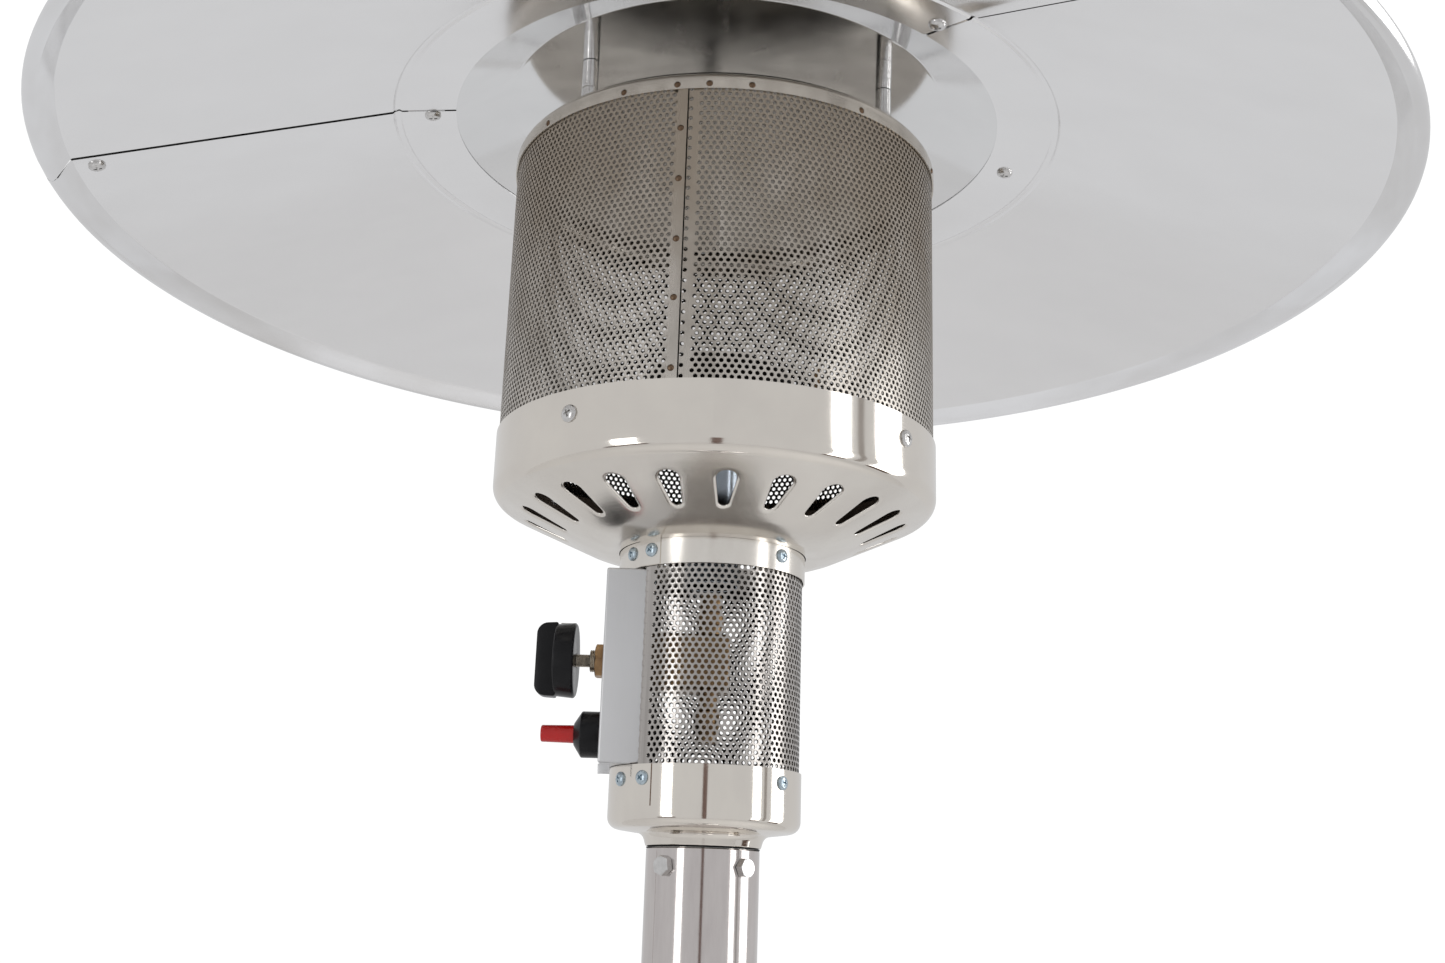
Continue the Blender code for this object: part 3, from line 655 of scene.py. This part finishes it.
def emitter():
    """Perforated drum with its lapped seam, and the riveted cap."""
    radius = turned_size("emitter_screen")[0]
    cap_r, skirt_low, cap_top = turned_size("emitter_cap")
    pan_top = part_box("burner_pan")[1].z
    first_row = pan_top - 2 * ROW
    rows = ceil((skirt_low - first_row) / ROW) + 1
    half = round(360 / PITCH_DEG) // 2
    for i, columns in enumerate(np.array_split(range(-half, half), DRUM_PIECES)):
        mesh = perforated_mesh(f"drum_quarter_{i + 1}", radius, first_row, rows, PITCH_DEG,
                               DRUM_SEAM + PITCH_DEG / 2, columns.tolist(), DRUM_MARGIN)
        # the drum's inner side is near black: soot and painted shade
        add(new_object(mesh.name, mesh, "heated_steel", "soot_and_painted_shade_steel"), "emitter_screen")
    ends = (skirt_low + 0.004, first_row + 0.004)
    lap_start = DRUM_SEAM - DRUM_LAP_DEG
    strip("drum_lap", radius + 0.0008, *ends, 0.0007, "heated_steel", lap_start, DRUM_LAP_DEG, 8)
    # near-black strip along the lap's free edge: painted shadow of the gap under it
    strip("drum_lap_shadow", radius + 0.0003, *ends, 0.0002, "soot_and_painted_shade_steel", DRUM_SEAM - 0.2, 0.45, 2)
    points = [(0, cap_top), (0.02, cap_top), (cap_r, cap_top, 0.0065), (cap_r, skirt_low)]
    add(turned_sheet("drum_cap", points, "cap_steel", steps=160), "emitter_cap")
    dome = [(0, 0.0007), (0.0011, 0.0006), (0.0019, 0), (0.0019, -0.0004), (0, -0.0004)]
    rivet = mesh_of(lathe("rivet", dome, "rivet_steel", steps=16, sharp=70))
    places = [(radius + 0.0008, DRUM_SEAM - 1.5, skirt_low - share * (skirt_low - pan_top))
              for share in (0.14, 0.32, 0.53, 0.73, 0.965)]
    places += [(cap_r, azimuth, skirt_low + 0.0028)
               for azimuth in (-51.9, -25.5, -11.5, -3.6, 6.7, 36.4, 75, 120, 165, 210, 255)]
    for i, place in enumerate(places):
        fasten(f"rivet_{i + 1}", rivet, polar(*place), radial(place[1]))


# Burner pan

def slot_outline(grow):
    """A slot in plan, grown by a distance: its outer end, a side, its inner end and the other side."""
    points = []
    for (here, half), (far, far_half), side in ((SLOT_OUTER, SLOT_INNER, 1), (SLOT_INNER, SLOT_OUTER, -1)):
        for k in range(END_STEPS):
            a = radians(-90 * side + 180 * k / END_STEPS)
            points.append((here + (half + grow) * cos(a), (half + grow) * sin(a)))
        for k in range(SIDE_STEPS):
            s = k / SIDE_STEPS
            points.append((here + (far - here) * s, side * (half + grow + (far_half - half) * s)))
    return np.array(points)


def slot_frame():
    """Outline of a slot's share of the cone in plan, point by point with slot_outline."""
    half = pi / SLOTS
    low_r, high_r = SLOTTED
    points = []
    for here, there, side in ((high_r, low_r, 1), (low_r, high_r, -1)):
        points += [(here, side * half * (2 * k / END_STEPS - 1)) for k in range(END_STEPS)]
        points += [(here + (there - here) * k / SIDE_STEPS, side * half) for k in range(SIDE_STEPS)]
    reach, angle = np.array(points).T
    return np.stack([reach * np.cos(angle), reach * np.sin(angle)], axis=1)


def burner_pan(screw):
    """Band and bend as a turned sheet, and the cone below them with a pressed rim round each slot."""
    radius, _, top = turned_size("burner_pan")
    bend = arc((radius - BEND_RADIUS, top - BEND_DROP), BEND_RADIUS, 0, PAN_SLOPE - 90, 10)
    slope = radians(PAN_SLOPE)
    low_r, high_r = SLOTTED

    def cone_z(r):
        return bend[-1][1] - (bend[-1][0] - r) * tan(slope)

    share_line, near = slot_frame(), slot_outline(0.002)
    rings = [(share_line * (1 - share) + near * share, 0) for share in (0, 0.34, 0.68)]
    rings += [(slot_outline(grow), sink) for grow, sink in RIM_STEPS]
    count = len(near)
    verts, faces = [], []
    for k in range(SLOTS):
        base = len(verts)
        for flat, sink in rings:
            reach = np.hypot(*flat.T)
            angle = np.arctan2(flat[:, 1], flat[:, 0]) + radians(SLOT_AZIMUTH + 360 * k / SLOTS)
            verts += on_circle(reach - sink * sin(slope), angle, cone_z(reach) + sink * cos(slope)).tolist()
        for a in range(base, base + (len(rings) - 1) * count, count):
            faces += ring_faces(a, a + count, count)
    band = [(radius, top), (radius, top - 0.01), (radius, top - 0.02), *bend, (high_r, cone_z(high_r))]
    hub = [(low_r, cone_z(low_r)), (0.079, cone_z(0.079)), (0.0765, cone_z(0.077)), (0.064, top - 0.0665),
           (0.0615, top - 0.0667), (0.0552, top - 0.0667)]
    azimuths = SLOTS * END_STEPS
    for line in (band, hub):
        base, n = len(verts), len(line)
        for k in range(azimuths):
            a = radians(SLOT_AZIMUTH - 180 / SLOTS + 360 * k / azimuths)
            verts += [(r * sin(a), -r * cos(a), z) for r, z in line]
            faces += ring_faces(base + k * n, base + (k + 1) % azimuths * n, n, closed=False)
    mesh = make_mesh("burner_pan_skin", verts, faces, 60, tidy=True)
    pan = new_object(mesh.name, mesh, "polished_steel", "satin_steel", "stain_and_painted_shade_steel", "stain_and_painted_shade_steel")
    if mesh.polygons[0].normal.z > 0:
        mesh.flip_normals()
    for face in mesh.polygons:
        face.material_index = int(face.center.xy.length < bend[-1][0])
    inside = 2  # the inside takes the dark finishes: heat stain and painted shade
    configure(pan.modifiers.new("Sheet", "SOLIDIFY"), thickness=0.0007, offset=-1, material_offset=inside)
    add(settle(pan, 50), "burner_pan")
    fasten_four("pan_screw", screw, radius, 20, 55)


def burner():
    """Mixing tube and the ported burner head inside the drum."""
    radius, low, high = turned_size("burner_tube")
    line = [(radius, high), (radius, low)]
    add(turned_sheet("mixing_tube", line, "chrome_tube", thickness=0.0015, steps=64), "burner_tube")
    radius, low, high = turned_size("burner_head")
    points = [(0, high), (0.012, high), (radius * 0.72, high - 0.002, 0.004), (radius, high - 0.01, 0.003),
              (radius, low + 0.0035, 0.002), (0.019, low)]
    add(turned_sheet("burner_bowl", points, "soot_and_painted_shade_steel", thickness=0.001, steps=72), "burner_head")


# Control section

def control_covers(tiny):
    """Neck ring, perforated screen and lower collar, with their laps and screws."""
    neck_r, neck_low, neck_high = turned_size("neck_ring")
    collar_r, collar_low, collar_high = turned_size("lower_collar")
    points = [(neck_r, neck_high), (collar_r, neck_high, 0.0028), (collar_r, neck_low)]
    add(turned_sheet("neck_collar", points, "satin_steel", steps=128, sharp=50), "neck_ring")
    strip("neck_lap", collar_r + SEAM_PROUD, neck_high - 0.0032, neck_low + 0.0002, 0.0006, "satin_steel",
          -47.5, 16, 10)

    screen_r = turned_size("control_screen")[0]
    box_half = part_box("control_box")[1].y
    first = -90 + degrees(asin((box_half + 2 * GAP) / (screen_r - SHEET)))
    sweep = 2 * (90 - first)
    columns = int((sweep - SCREEN_PITCH_DEG * 0.5) / SCREEN_PITCH_DEG)
    low_row = collar_high - 2 * ROW
    rows = ceil((neck_low - low_row) / ROW) + 2
    margin = {0: ("plain", "plain"), 1: ("plain", "hole"), columns - 1: ("plain", "plain")}
    mesh = perforated_mesh("screen_shell", screen_r, low_row, rows, SCREEN_PITCH_DEG,
                           first + SCREEN_PITCH_DEG * 0.5, range(columns), margin)
    # the screen's inner side is near black: painted shade
    add(new_object(mesh.name, mesh, "screen_steel", "soot_and_painted_shade_steel"), "control_screen")
    for side, start in (("near", first), ("far", first + sweep - SCREEN_MARGIN_DEG)):
        strip(f"screen_margin_{side}", screen_r - 0.0003, neck_low + 0.002, collar_high - 0.002, SHEET,
              "screen_steel", start, SCREEN_MARGIN_DEG, 3)

    foot = collar_high - 0.0422
    points = [(collar_r, collar_high), (collar_r, collar_high - 0.0325, 0.0065),
              (0.0345, collar_high - 0.0352, 0.0055), (0.0326, foot + 0.0004, 0.0008), (0.03, foot, 0.0006),
              (0.03, collar_low)]
    add(turned_sheet("collar", points, "polished_steel", steps=128, sharp=50), "lower_collar")
    strip("collar_lap", collar_r + SEAM_PROUD, collar_high, collar_high - 0.0225, 0.0006, "polished_steel",
          -48.5, 17, 10)
    post_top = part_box("post")[1].z + 0.0002
    ring = [(0.0321, foot - 0.0002), (0.0321, post_top), (0.0303, post_top), (0.0303, foot - 0.0002)]
    add(lathe("collar_gasket", ring, "wheel_rubber", steps=96), slot="black_plastic")
    neck_z = (neck_low + neck_high) / 2 - 0.001
    for z, azimuths, name in ((neck_z, (-55.3, -37.7, 46.8, 133, 222), "neck_screw"),
                              (collar_high - 0.0075, (-57.6, -37.5, 51.4, 133, 222), "collar_screw")):
        for i, azimuth in enumerate(azimuths):
            proud = SEAM_PROUD if -48 < azimuth < -31 else 0
            fasten(f"{name}_{i + 1}", tiny, polar(collar_r + proud, azimuth, z), radial(azimuth),
                   spin=10 + 33 * i)


def control_box():
    """Bent sheet box: a folded front and sides with small bend radii, open towards the screen, and a tab."""
    low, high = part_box("control_box")
    bottom = low.z + BOX_FLANGE
    bm = bmesh.new()
    box_mesh(bm, (low.x, low.y, bottom), (high.x, high.y, high.z))
    bmesh.ops.delete(bm, geom=[f for f in bm.faces if f.normal.x > 0.9], context="FACES")
    box = bmesh_object("control_case", bm, "box_sheet")
    configure(box.modifiers.new("Bends", "BEVEL"), width=0.0012, segments=4, limit_method="ANGLE")
    configure(box.modifiers.new("Sheet", "SOLIDIFY"), thickness=0.001, offset=-1)
    settle(box, 40)
    for node, radius in (("valve_nut", 0.007), ("igniter_body", 0.0094)):
        bm = bmesh.new()
        bmesh.ops.create_cone(bm, cap_ends=True, segments=32, radius1=radius, radius2=radius, depth=0.01)
        cutter = aim(bmesh_object("bore", bm), Vector((low.x, 0, seat_of(node)[0].z)), Vector((-1, 0, 0)))
        bpy.context.view_layer.update()
        join_shape(box, cutter, "DIFFERENCE")
    add(settle(box, 40), "control_box")
    x, y = low.x + 0.0003, low.y + 0.0003
    add(rounded_box("case_tab", (x, y, low.z + 0.0024), (x + 0.0066, y + 0.001, bottom - 0.0006), "box_sheet",
                    0.0003))


def on_box_axis(obj, z):
    """Turns a shape made along +Z so that its heights are distances out from the post's axis."""
    return lay_along_x(obj, (0, 0, z), -90)


def threaded(radius, start, end, pitch, depth):
    """Outline of a threaded length as close rings, from its far end inwards."""
    points = []
    for k in range(int((end - start) / pitch)):
        z = end - k * pitch
        points += [(radius - depth, z), (radius, z - pitch * 0.35), (radius, z - pitch * 0.6)]
    return points


def gas_valve():
    """Valve body with its threaded bushing, pipes, nut and stem."""
    low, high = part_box("gas_valve")
    nut_low, nut_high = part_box("valve_nut")
    axis_z = (nut_low.z + nut_high.z) / 2
    bushing = -low.x
    thread = threaded(0.00645, 0.052, bushing, 0.001, 0.0004)
    loop = [(0.0044, bushing), *thread, (0.006, 0.03), (0.0044, 0.03)]
    add(on_box_axis(lathe("valve_bushing", loop, "shaft_steel", steps=40, sharp=25), axis_z), slot="brass")
    add(rounded_box("valve_block", (-0.034, low.y, axis_z - 0.016), (high.x, high.y, axis_z + 0.016), "brass",
                    0.002, 3), "gas_valve")
    for name, radius, top, bottom in (("valve_outlet", 0.008, high.z, axis_z + 0.015),
                                      ("valve_inlet", 0.007, axis_z - 0.015, low.z)):
        length = top - bottom
        loop = [(0, length), (radius * 0.8, length), (radius * 0.8, length * 0.62), (radius, length * 0.58),
                (radius, length * 0.3), (radius * 0.85, length * 0.25), (radius * 0.85, 0), (0, 0)]
        pipe = lathe(name, loop, "brass", steps=24)
        pipe.data.transform(Matrix.Translation((0, 0, bottom)))
        add(pipe)
    corner = (nut_high.z - nut_low.z) / 2
    nut = hex_mesh("valve_nut_shape", corner, nut_high.x - nut_low.x, "brass", bore=0.0066)
    fasten("valve_nut_hex", nut, Vector((nut_high.x, 0, axis_z)), Vector((-1, 0, 0)), "valve_nut", spin=30)
    low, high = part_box("valve_stem")
    radius, front, back = (high.y - low.y) / 2, -low.x, -high.x
    loop = [(0, front), *threaded(radius, back, front, 0.0007, 0.00018), (radius, back), (0, back)]
    stem = on_box_axis(lathe("stem", loop, "shaft_steel", steps=32, sharp=25), axis_z)
    add(stem, "valve_stem", body="stem")


def control_knob():
    """Round skirt with a grip bar across it, one moulding, and its mark."""
    axis_z = seat_of("valve_nut")[0].z
    low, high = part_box("control_knob")
    front, back, radius = -low.x, -high.x, (high.y - low.y) / 2
    ledge = back + 0.012
    skirt = rounded([(0, ledge), (radius * 0.7, ledge), (radius - 0.001, ledge, 0.0012),
                     (radius, back + 0.001, 0.001), (radius - 0.0012, back, 0.0006), (0.0042, back, 0.0003),
                     (0.0042, back + 0.0115), (0, back + 0.0115)], 4)
    knob = on_box_axis(lathe("knob", skirt, "black_plastic", steps=96), axis_z)
    bm = bmesh.new()
    half_width, reach = 0.0062, radius - 0.0002
    verts = box_mesh(bm, (-front, -half_width, axis_z - reach), (-ledge + 0.001, half_width, axis_z + reach))
    outer = [v for v in verts if v.co.x < -front + 0.001]
    for v in outer:
        v.co.y *= 0.78
        v.co.z = axis_z + (v.co.z - axis_z) * 0.975
    ends = [e for e in bm.edges if set(e.verts) <= set(outer)
            and abs((e.verts[0].co - e.verts[1].co).normalized().y) > 0.9]
    bmesh.ops.bevel(bm, geom=ends, offset=half_width, offset_type="OFFSET", segments=8, profile=0.5,
                    affect="EDGES")
    bar = round_edges(bmesh_object("bar", bm, "black_plastic"), 0.0011, angle=40)
    bpy.context.view_layer.update()
    join_shape(knob, bar, "UNION")
    add(settle(knob, 30), "control_knob", body="knob")
    rim = axis_z + radius
    add(rounded_box("knob_mark", (-ledge + 0.002, -0.0004, rim - 0.0004),
                    (-back - 0.001, 0.0004, rim + 0.0001), "ceramic", 0.0001), body="knob")


def igniter():
    """Push-button igniter: collar, cone and the red button."""
    low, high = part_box("igniter_body")
    axis_z = (low.z + high.z) / 2
    front, radius = -low.x, (high.z - low.z) / 2
    seat = -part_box("control_box")[0].x + GAP
    loop = rounded([(0.0056, front - 0.01), (0.0056, front, 0.0003), (0.0064, front, 0.0004),
                    (radius, front - 0.0044, 0.001), (radius, seat, 0.0003), (0.0088, seat),
                    (0.0088, -high.x), (0.0056, -high.x)], 4)
    add(on_box_axis(lathe("igniter_case", loop, "black_plastic", steps=72), axis_z), "igniter_body")
    low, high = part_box("igniter_button")
    front, radius = -low.x, (high.z - low.z) / 2
    loop = rounded([(0, front), (radius * 0.6, front), (radius * 0.93, front - 0.0001, 0.0009),
                    (radius, front - 0.02), (radius, -high.x), (0, -high.x)], 5)
    button = on_box_axis(lathe("button", loop, "red_plastic", steps=48), axis_z)
    add(button, "igniter_button", body="button")


# Post, base and housing

def post(bolt):
    """Tube with rolled edges, its weld line, and the bolts that clamp the collar's sleeve."""
    radius, low, high = turned_size("post")
    bore = radius - 0.0015
    points = [(bore, high - 0.0003), (radius - 0.0004, high), (radius, high - 0.0006), (radius, low),
              (bore, low)]
    add(lathe("post_tube", points, "post_steel", steps=128, sharp=20), "post")
    half = Vector((0.00035, 0.00035, (high - low) / 2 - 0.002))
    weld = rounded_box("post_weld", -half, half, "post_steel", 0.0001)
    place = polar(radius - 0.00018, -52, (low + high) / 2)
    weld.data.transform(Matrix.Translation(place) @ Matrix.Rotation(radians(-52), 4, "Z"))
    add(weld)
    fasten_four("post_bolt", bolt, radius, 8, 17)


def base():
    """Dished foot, and the socket of the post with its bolts and those of the legs."""
    radius, _, deck = turned_size("base_plate")
    points = [(0, deck), (0.05, deck), (0.201, deck, 0.006), (0.213, deck - 0.005, 0.008),
              (0.226, deck - 0.0115, 0.008), (radius, deck - 0.0175, 0.004), (radius, 0.0014, 0.0012),
              (radius - 0.002, 0, 0.0012), (0.206, 0)]
    add(turned_sheet("foot", points, "housing_steel", thickness=0.002, steps=160), "base_plate")
    radius, low, high = turned_size("post_flange")
    sleeve, deck = 0.03, low + 0.004
    points = [(0.0285, high), (sleeve - 0.0004, high), (sleeve, high - 0.0005), (sleeve, deck + 0.003),
              (sleeve + 0.003, deck), (radius - 0.0006, deck), (radius, deck - 0.0006), (radius, low),
              (0.0285, low)]
    add(lathe("socket", points, "painted_steel", steps=96), "post_flange")
    bolt = hex_mesh("flange_bolt_shape", 0.0065, 0.005, "zinc")
    for i in range(3):
        azimuth = 60 + 120 * i
        fasten(f"flange_bolt_{i + 1}", bolt, polar(radius * 0.78, azimuth, deck), UP, spin=13 * i)
        foot_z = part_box(f"support_leg_{i + 1}")[0].z + 0.004
        fasten(f"leg_bolt_{i + 1}", bolt, polar(0.168, azimuth, foot_z), UP, spin=21 * i)


def housing():
    """Bottle housing with a beaded hem at each end, and its domed cover."""
    radius, low, high = turned_size("tank_housing")
    waist = radius - 0.0012
    points = [(waist, high), (waist, high - 0.01, 0.002), (radius, high - 0.013, 0.002),
              (radius, low + 0.03, 0.002), (waist, low + 0.027, 0.002), (waist, low + 0.019, 0.002),
              (radius, low + 0.016, 0.002), (radius, low + 0.001, 0.0008), (waist, low)]
    wall = turned_sheet("housing_wall", points, "housing_steel", steps=176)
    add(wall, "tank_housing", body="housing")
    radius, low, high = turned_size("housing_cover")
    points = [(0.036, high), (0.038, high, 0.002), (0.046, high - 0.005, 0.008), (0.18, high - 0.074, 0.02),
              (radius - 0.0035, high - 0.0825, 0.006), (radius, high - 0.0875, 0.003),
              (radius, low + 0.001, 0.0008), (radius - 0.001, low)]
    cover = turned_sheet("housing_top", points, "housing_steel", steps=176)
    add(cover, "housing_cover", body="housing")


def wheels():
    """Tyres with a tread, hub caps and the axle."""
    for side, name in ((-1, "left"), (1, "right")):
        low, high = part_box(f"wheel_{name}")
        radius, half = (high.z - low.z) / 2, (high.x - low.x) / 2
        face = [(0.0057, half), (0.013, half), (0.015, 0.005), (0.038, 0.005), (0.04, 0.011),
                (0.0445, 0.0115), (0.048, 0.0095)]
        tread = [(radius - 0.0009 * (k % 2), 0.0064 - 0.0016 * k) for k in range(9)]
        loop = face + tread + [(r, -x) for r, x in face[::-1]]
        centre = (low + high) / 2
        wheel = lay_along_x(lathe(f"tyre_{name}", loop, "wheel_rubber", steps=96, sharp=30), centre)
        add(wheel, f"wheel_{name}", body=f"{name}_wheel")
        low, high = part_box(f"wheel_cap_{name}")
        depth, radius = high.x - low.x, (high.z - low.z) / 2
        loop = rounded([(0, depth), (0.002, depth), (radius * 0.68, depth - 0.001, 0.003),
                        (radius, depth * 0.45, 0.002), (radius, 0.0002), (0.0054, 0.0002),
                        (0.0054, depth * 0.6), (0, depth * 0.6)], 4)
        seat = (low.x if side > 0 else high.x, centre.y, centre.z)
        cap = lay_along_x(lathe(f"hub_cap_{name}", loop, "black_plastic", steps=40), seat, 90 * side)
        add(cap, f"wheel_cap_{name}")
    low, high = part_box("wheel_axle")
    radius, half = (high.z - low.z) / 2, (high.x - low.x) / 2
    loop = [(0, half), (radius - 0.0006, half), (radius, half - 0.0006), (radius, -half + 0.0006),
            (radius - 0.0006, -half), (0, -half)]
    add(lay_along_x(lathe("axle", loop, "shaft_steel", steps=32), (low + high) / 2), "wheel_axle")


def finish_nodes():
    """CAD nodes whose shape is right only get their finish."""
    finishes = {"pilot_bracket": "box_sheet", "thermocouple": "brass", "spark_electrode": "ceramic",
                "tilt_switch": "black_plastic", "wheel_bracket": "painted_steel"}
    finishes.update({f"support_leg_{i}": "painted_steel" for i in (1, 2, 3)})
    for node, finish in finishes.items():
        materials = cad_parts[node].data.materials
        materials.clear()
        materials.append(MATERIALS[finish])


# Stage

def make_camera():
    """Camera close by and below the reflector, looking up."""
    data = bpy.data.cameras.new("camera")
    configure(data, sensor_width=36, lens=38.406, clip_start=0.02, clip_end=60)
    camera = new_object("camera", data)
    heading, pitch, roll = radians(0.5728), radians(15.5356), radians(1.8124)
    turn = (Matrix.Rotation(heading, 4, "Z") @ Matrix.Rotation(radians(90) + pitch, 4, "X")
            @ Matrix.Rotation(roll, 4, "Z"))
    camera.matrix_world = Matrix.Translation((0.01339, -0.89208, 1.69849)) @ turn
    bpy.context.scene.camera = camera


def make_floor():
    """Pale studio floor, a disc with a soft mottle."""
    bm = bmesh.new()
    bmesh.ops.create_circle(bm, cap_ends=True, segments=96, radius=3.2)
    tree, shader = new_material("floor", Roughness=0.75)
    mottle = noise(tree, object_place(tree), (5, 5, 5))
    colour = blend_colours(tree, mottle, (0.86, 0.85, 0.84), (0.9, 0.895, 0.89))
    tree.links.new(colour, shader.inputs["Base Color"])
    bmesh_object("floor", bm, "floor")


def make_world():
    """Even studio white: the camera sees it pure, and the object is lit and mirrored by a softer grey."""
    world = bpy.data.worlds.new("studio")
    world.use_nodes = True
    bpy.context.scene.world = world
    tree = world.node_tree
    tree.nodes.clear()
    rays = add_node(tree, "LightPath").outputs["Is Camera Ray"]
    lit = add_node(tree, "Background", {"Color": (0.96, 0.965, 0.98, 1), "Strength": 0.7})
    seen = add_node(tree, "Background", {"Color": (1, 1, 1, 1), "Strength": 1.05})
    mix = add_node(tree, "MixShader", {0: rays, 1: lit.outputs[0], 2: seen.outputs[0]})
    add_node(tree, "OutputWorld", {0: mix.outputs[0]})


def strip_light(name, azimuth, width, low, high, radiance):
    """Upright light panel, facing the post."""
    data = bpy.data.lights.new(name, "AREA")
    energy = radiance * pi * width * (high - low)
    configure(data, shape="RECTANGLE", size=width, size_y=high - low, energy=energy)
    light = new_object(name, data)
    toward = -radial(azimuth)
    facing = Matrix((toward.cross(UP), UP, -toward)).transposed().to_4x4()
    light.matrix_world = Matrix.Translation(polar(2.2, azimuth, (low + high) / 2)) @ facing
    light.visible_camera = False


def dark_board(name, azimuth, distance, width, low, high, colour):
    """A dark card that only shows as a streak in polished metal."""
    bm = bmesh.new()
    box_mesh(bm, (-width / 2, -0.01, low), (width / 2, 0.01, high))
    new_material(name, Base_Color=(*colour, 1), Roughness=0.8)
    board = bmesh_object(name, bm, name)
    facing = Matrix.Rotation(radians(azimuth), 4, "Z")
    board.matrix_world = Matrix.Translation(polar(distance, azimuth, 0)) @ facing
    configure(board, visible_camera=False, visible_shadow=False, visible_diffuse=False)


def make_studio():
    make_floor()
    make_world()
    strip_light("key_left", -44, 0.5, 0.9, 2.32, 2.4)
    strip_light("key_right", 64, 0.42, 0.9, 3.6, 2.6)
    strip_light("fill_right", 96, 0.8, 0.9, 3.6, 2.4)
    dark_board("camera_side", 1, 2.6, 0.24, 0, 2.1, (0.2, 0.13, 0.11))
    for azimuth, width in ((-46, 0.9), (64, 0.5), (96, 0.7)):
        dark_board(f"low_edge_{int(azimuth) % 360}", azimuth, 2.15, width, 0.62, 0.88, (0.12, 0.07, 0.05))
    dark_board("divider", 76, 2.3, 0.16, 0.9, 3.4, (0.45, 0.42, 0.4))


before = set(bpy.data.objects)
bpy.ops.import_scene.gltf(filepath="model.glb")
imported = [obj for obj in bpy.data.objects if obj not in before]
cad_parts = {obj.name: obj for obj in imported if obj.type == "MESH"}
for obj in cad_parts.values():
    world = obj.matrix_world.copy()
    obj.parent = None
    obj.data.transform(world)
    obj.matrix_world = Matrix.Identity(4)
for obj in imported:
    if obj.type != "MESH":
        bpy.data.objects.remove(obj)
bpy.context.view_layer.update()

bpy.context.scene.view_settings.view_transform = "Standard"
make_camera()
make_studio()

make_materials()
large_screw = phillips_mesh("pan_head_screw", 0.005, 0.0026, "turned_steel")
tiny_screw = phillips_mesh("sheet_screw", 0.004, 0.0021, "zinc")
bolt_head = hex_mesh("hex_head", 0.0056, 0.0042, "turned_steel")
thin_nut = hex_mesh("small_nut", 0.005, 0.003, "zinc", bore=0.0015)

reflector(large_screw, thin_nut)
studs()
emitter()
burner_pan(large_screw)
burner()
control_covers(tiny_screw)
control_box()
gas_valve()
control_knob()
igniter()
post(bolt_head)
base()
housing()
wheels()
finish_nodes()
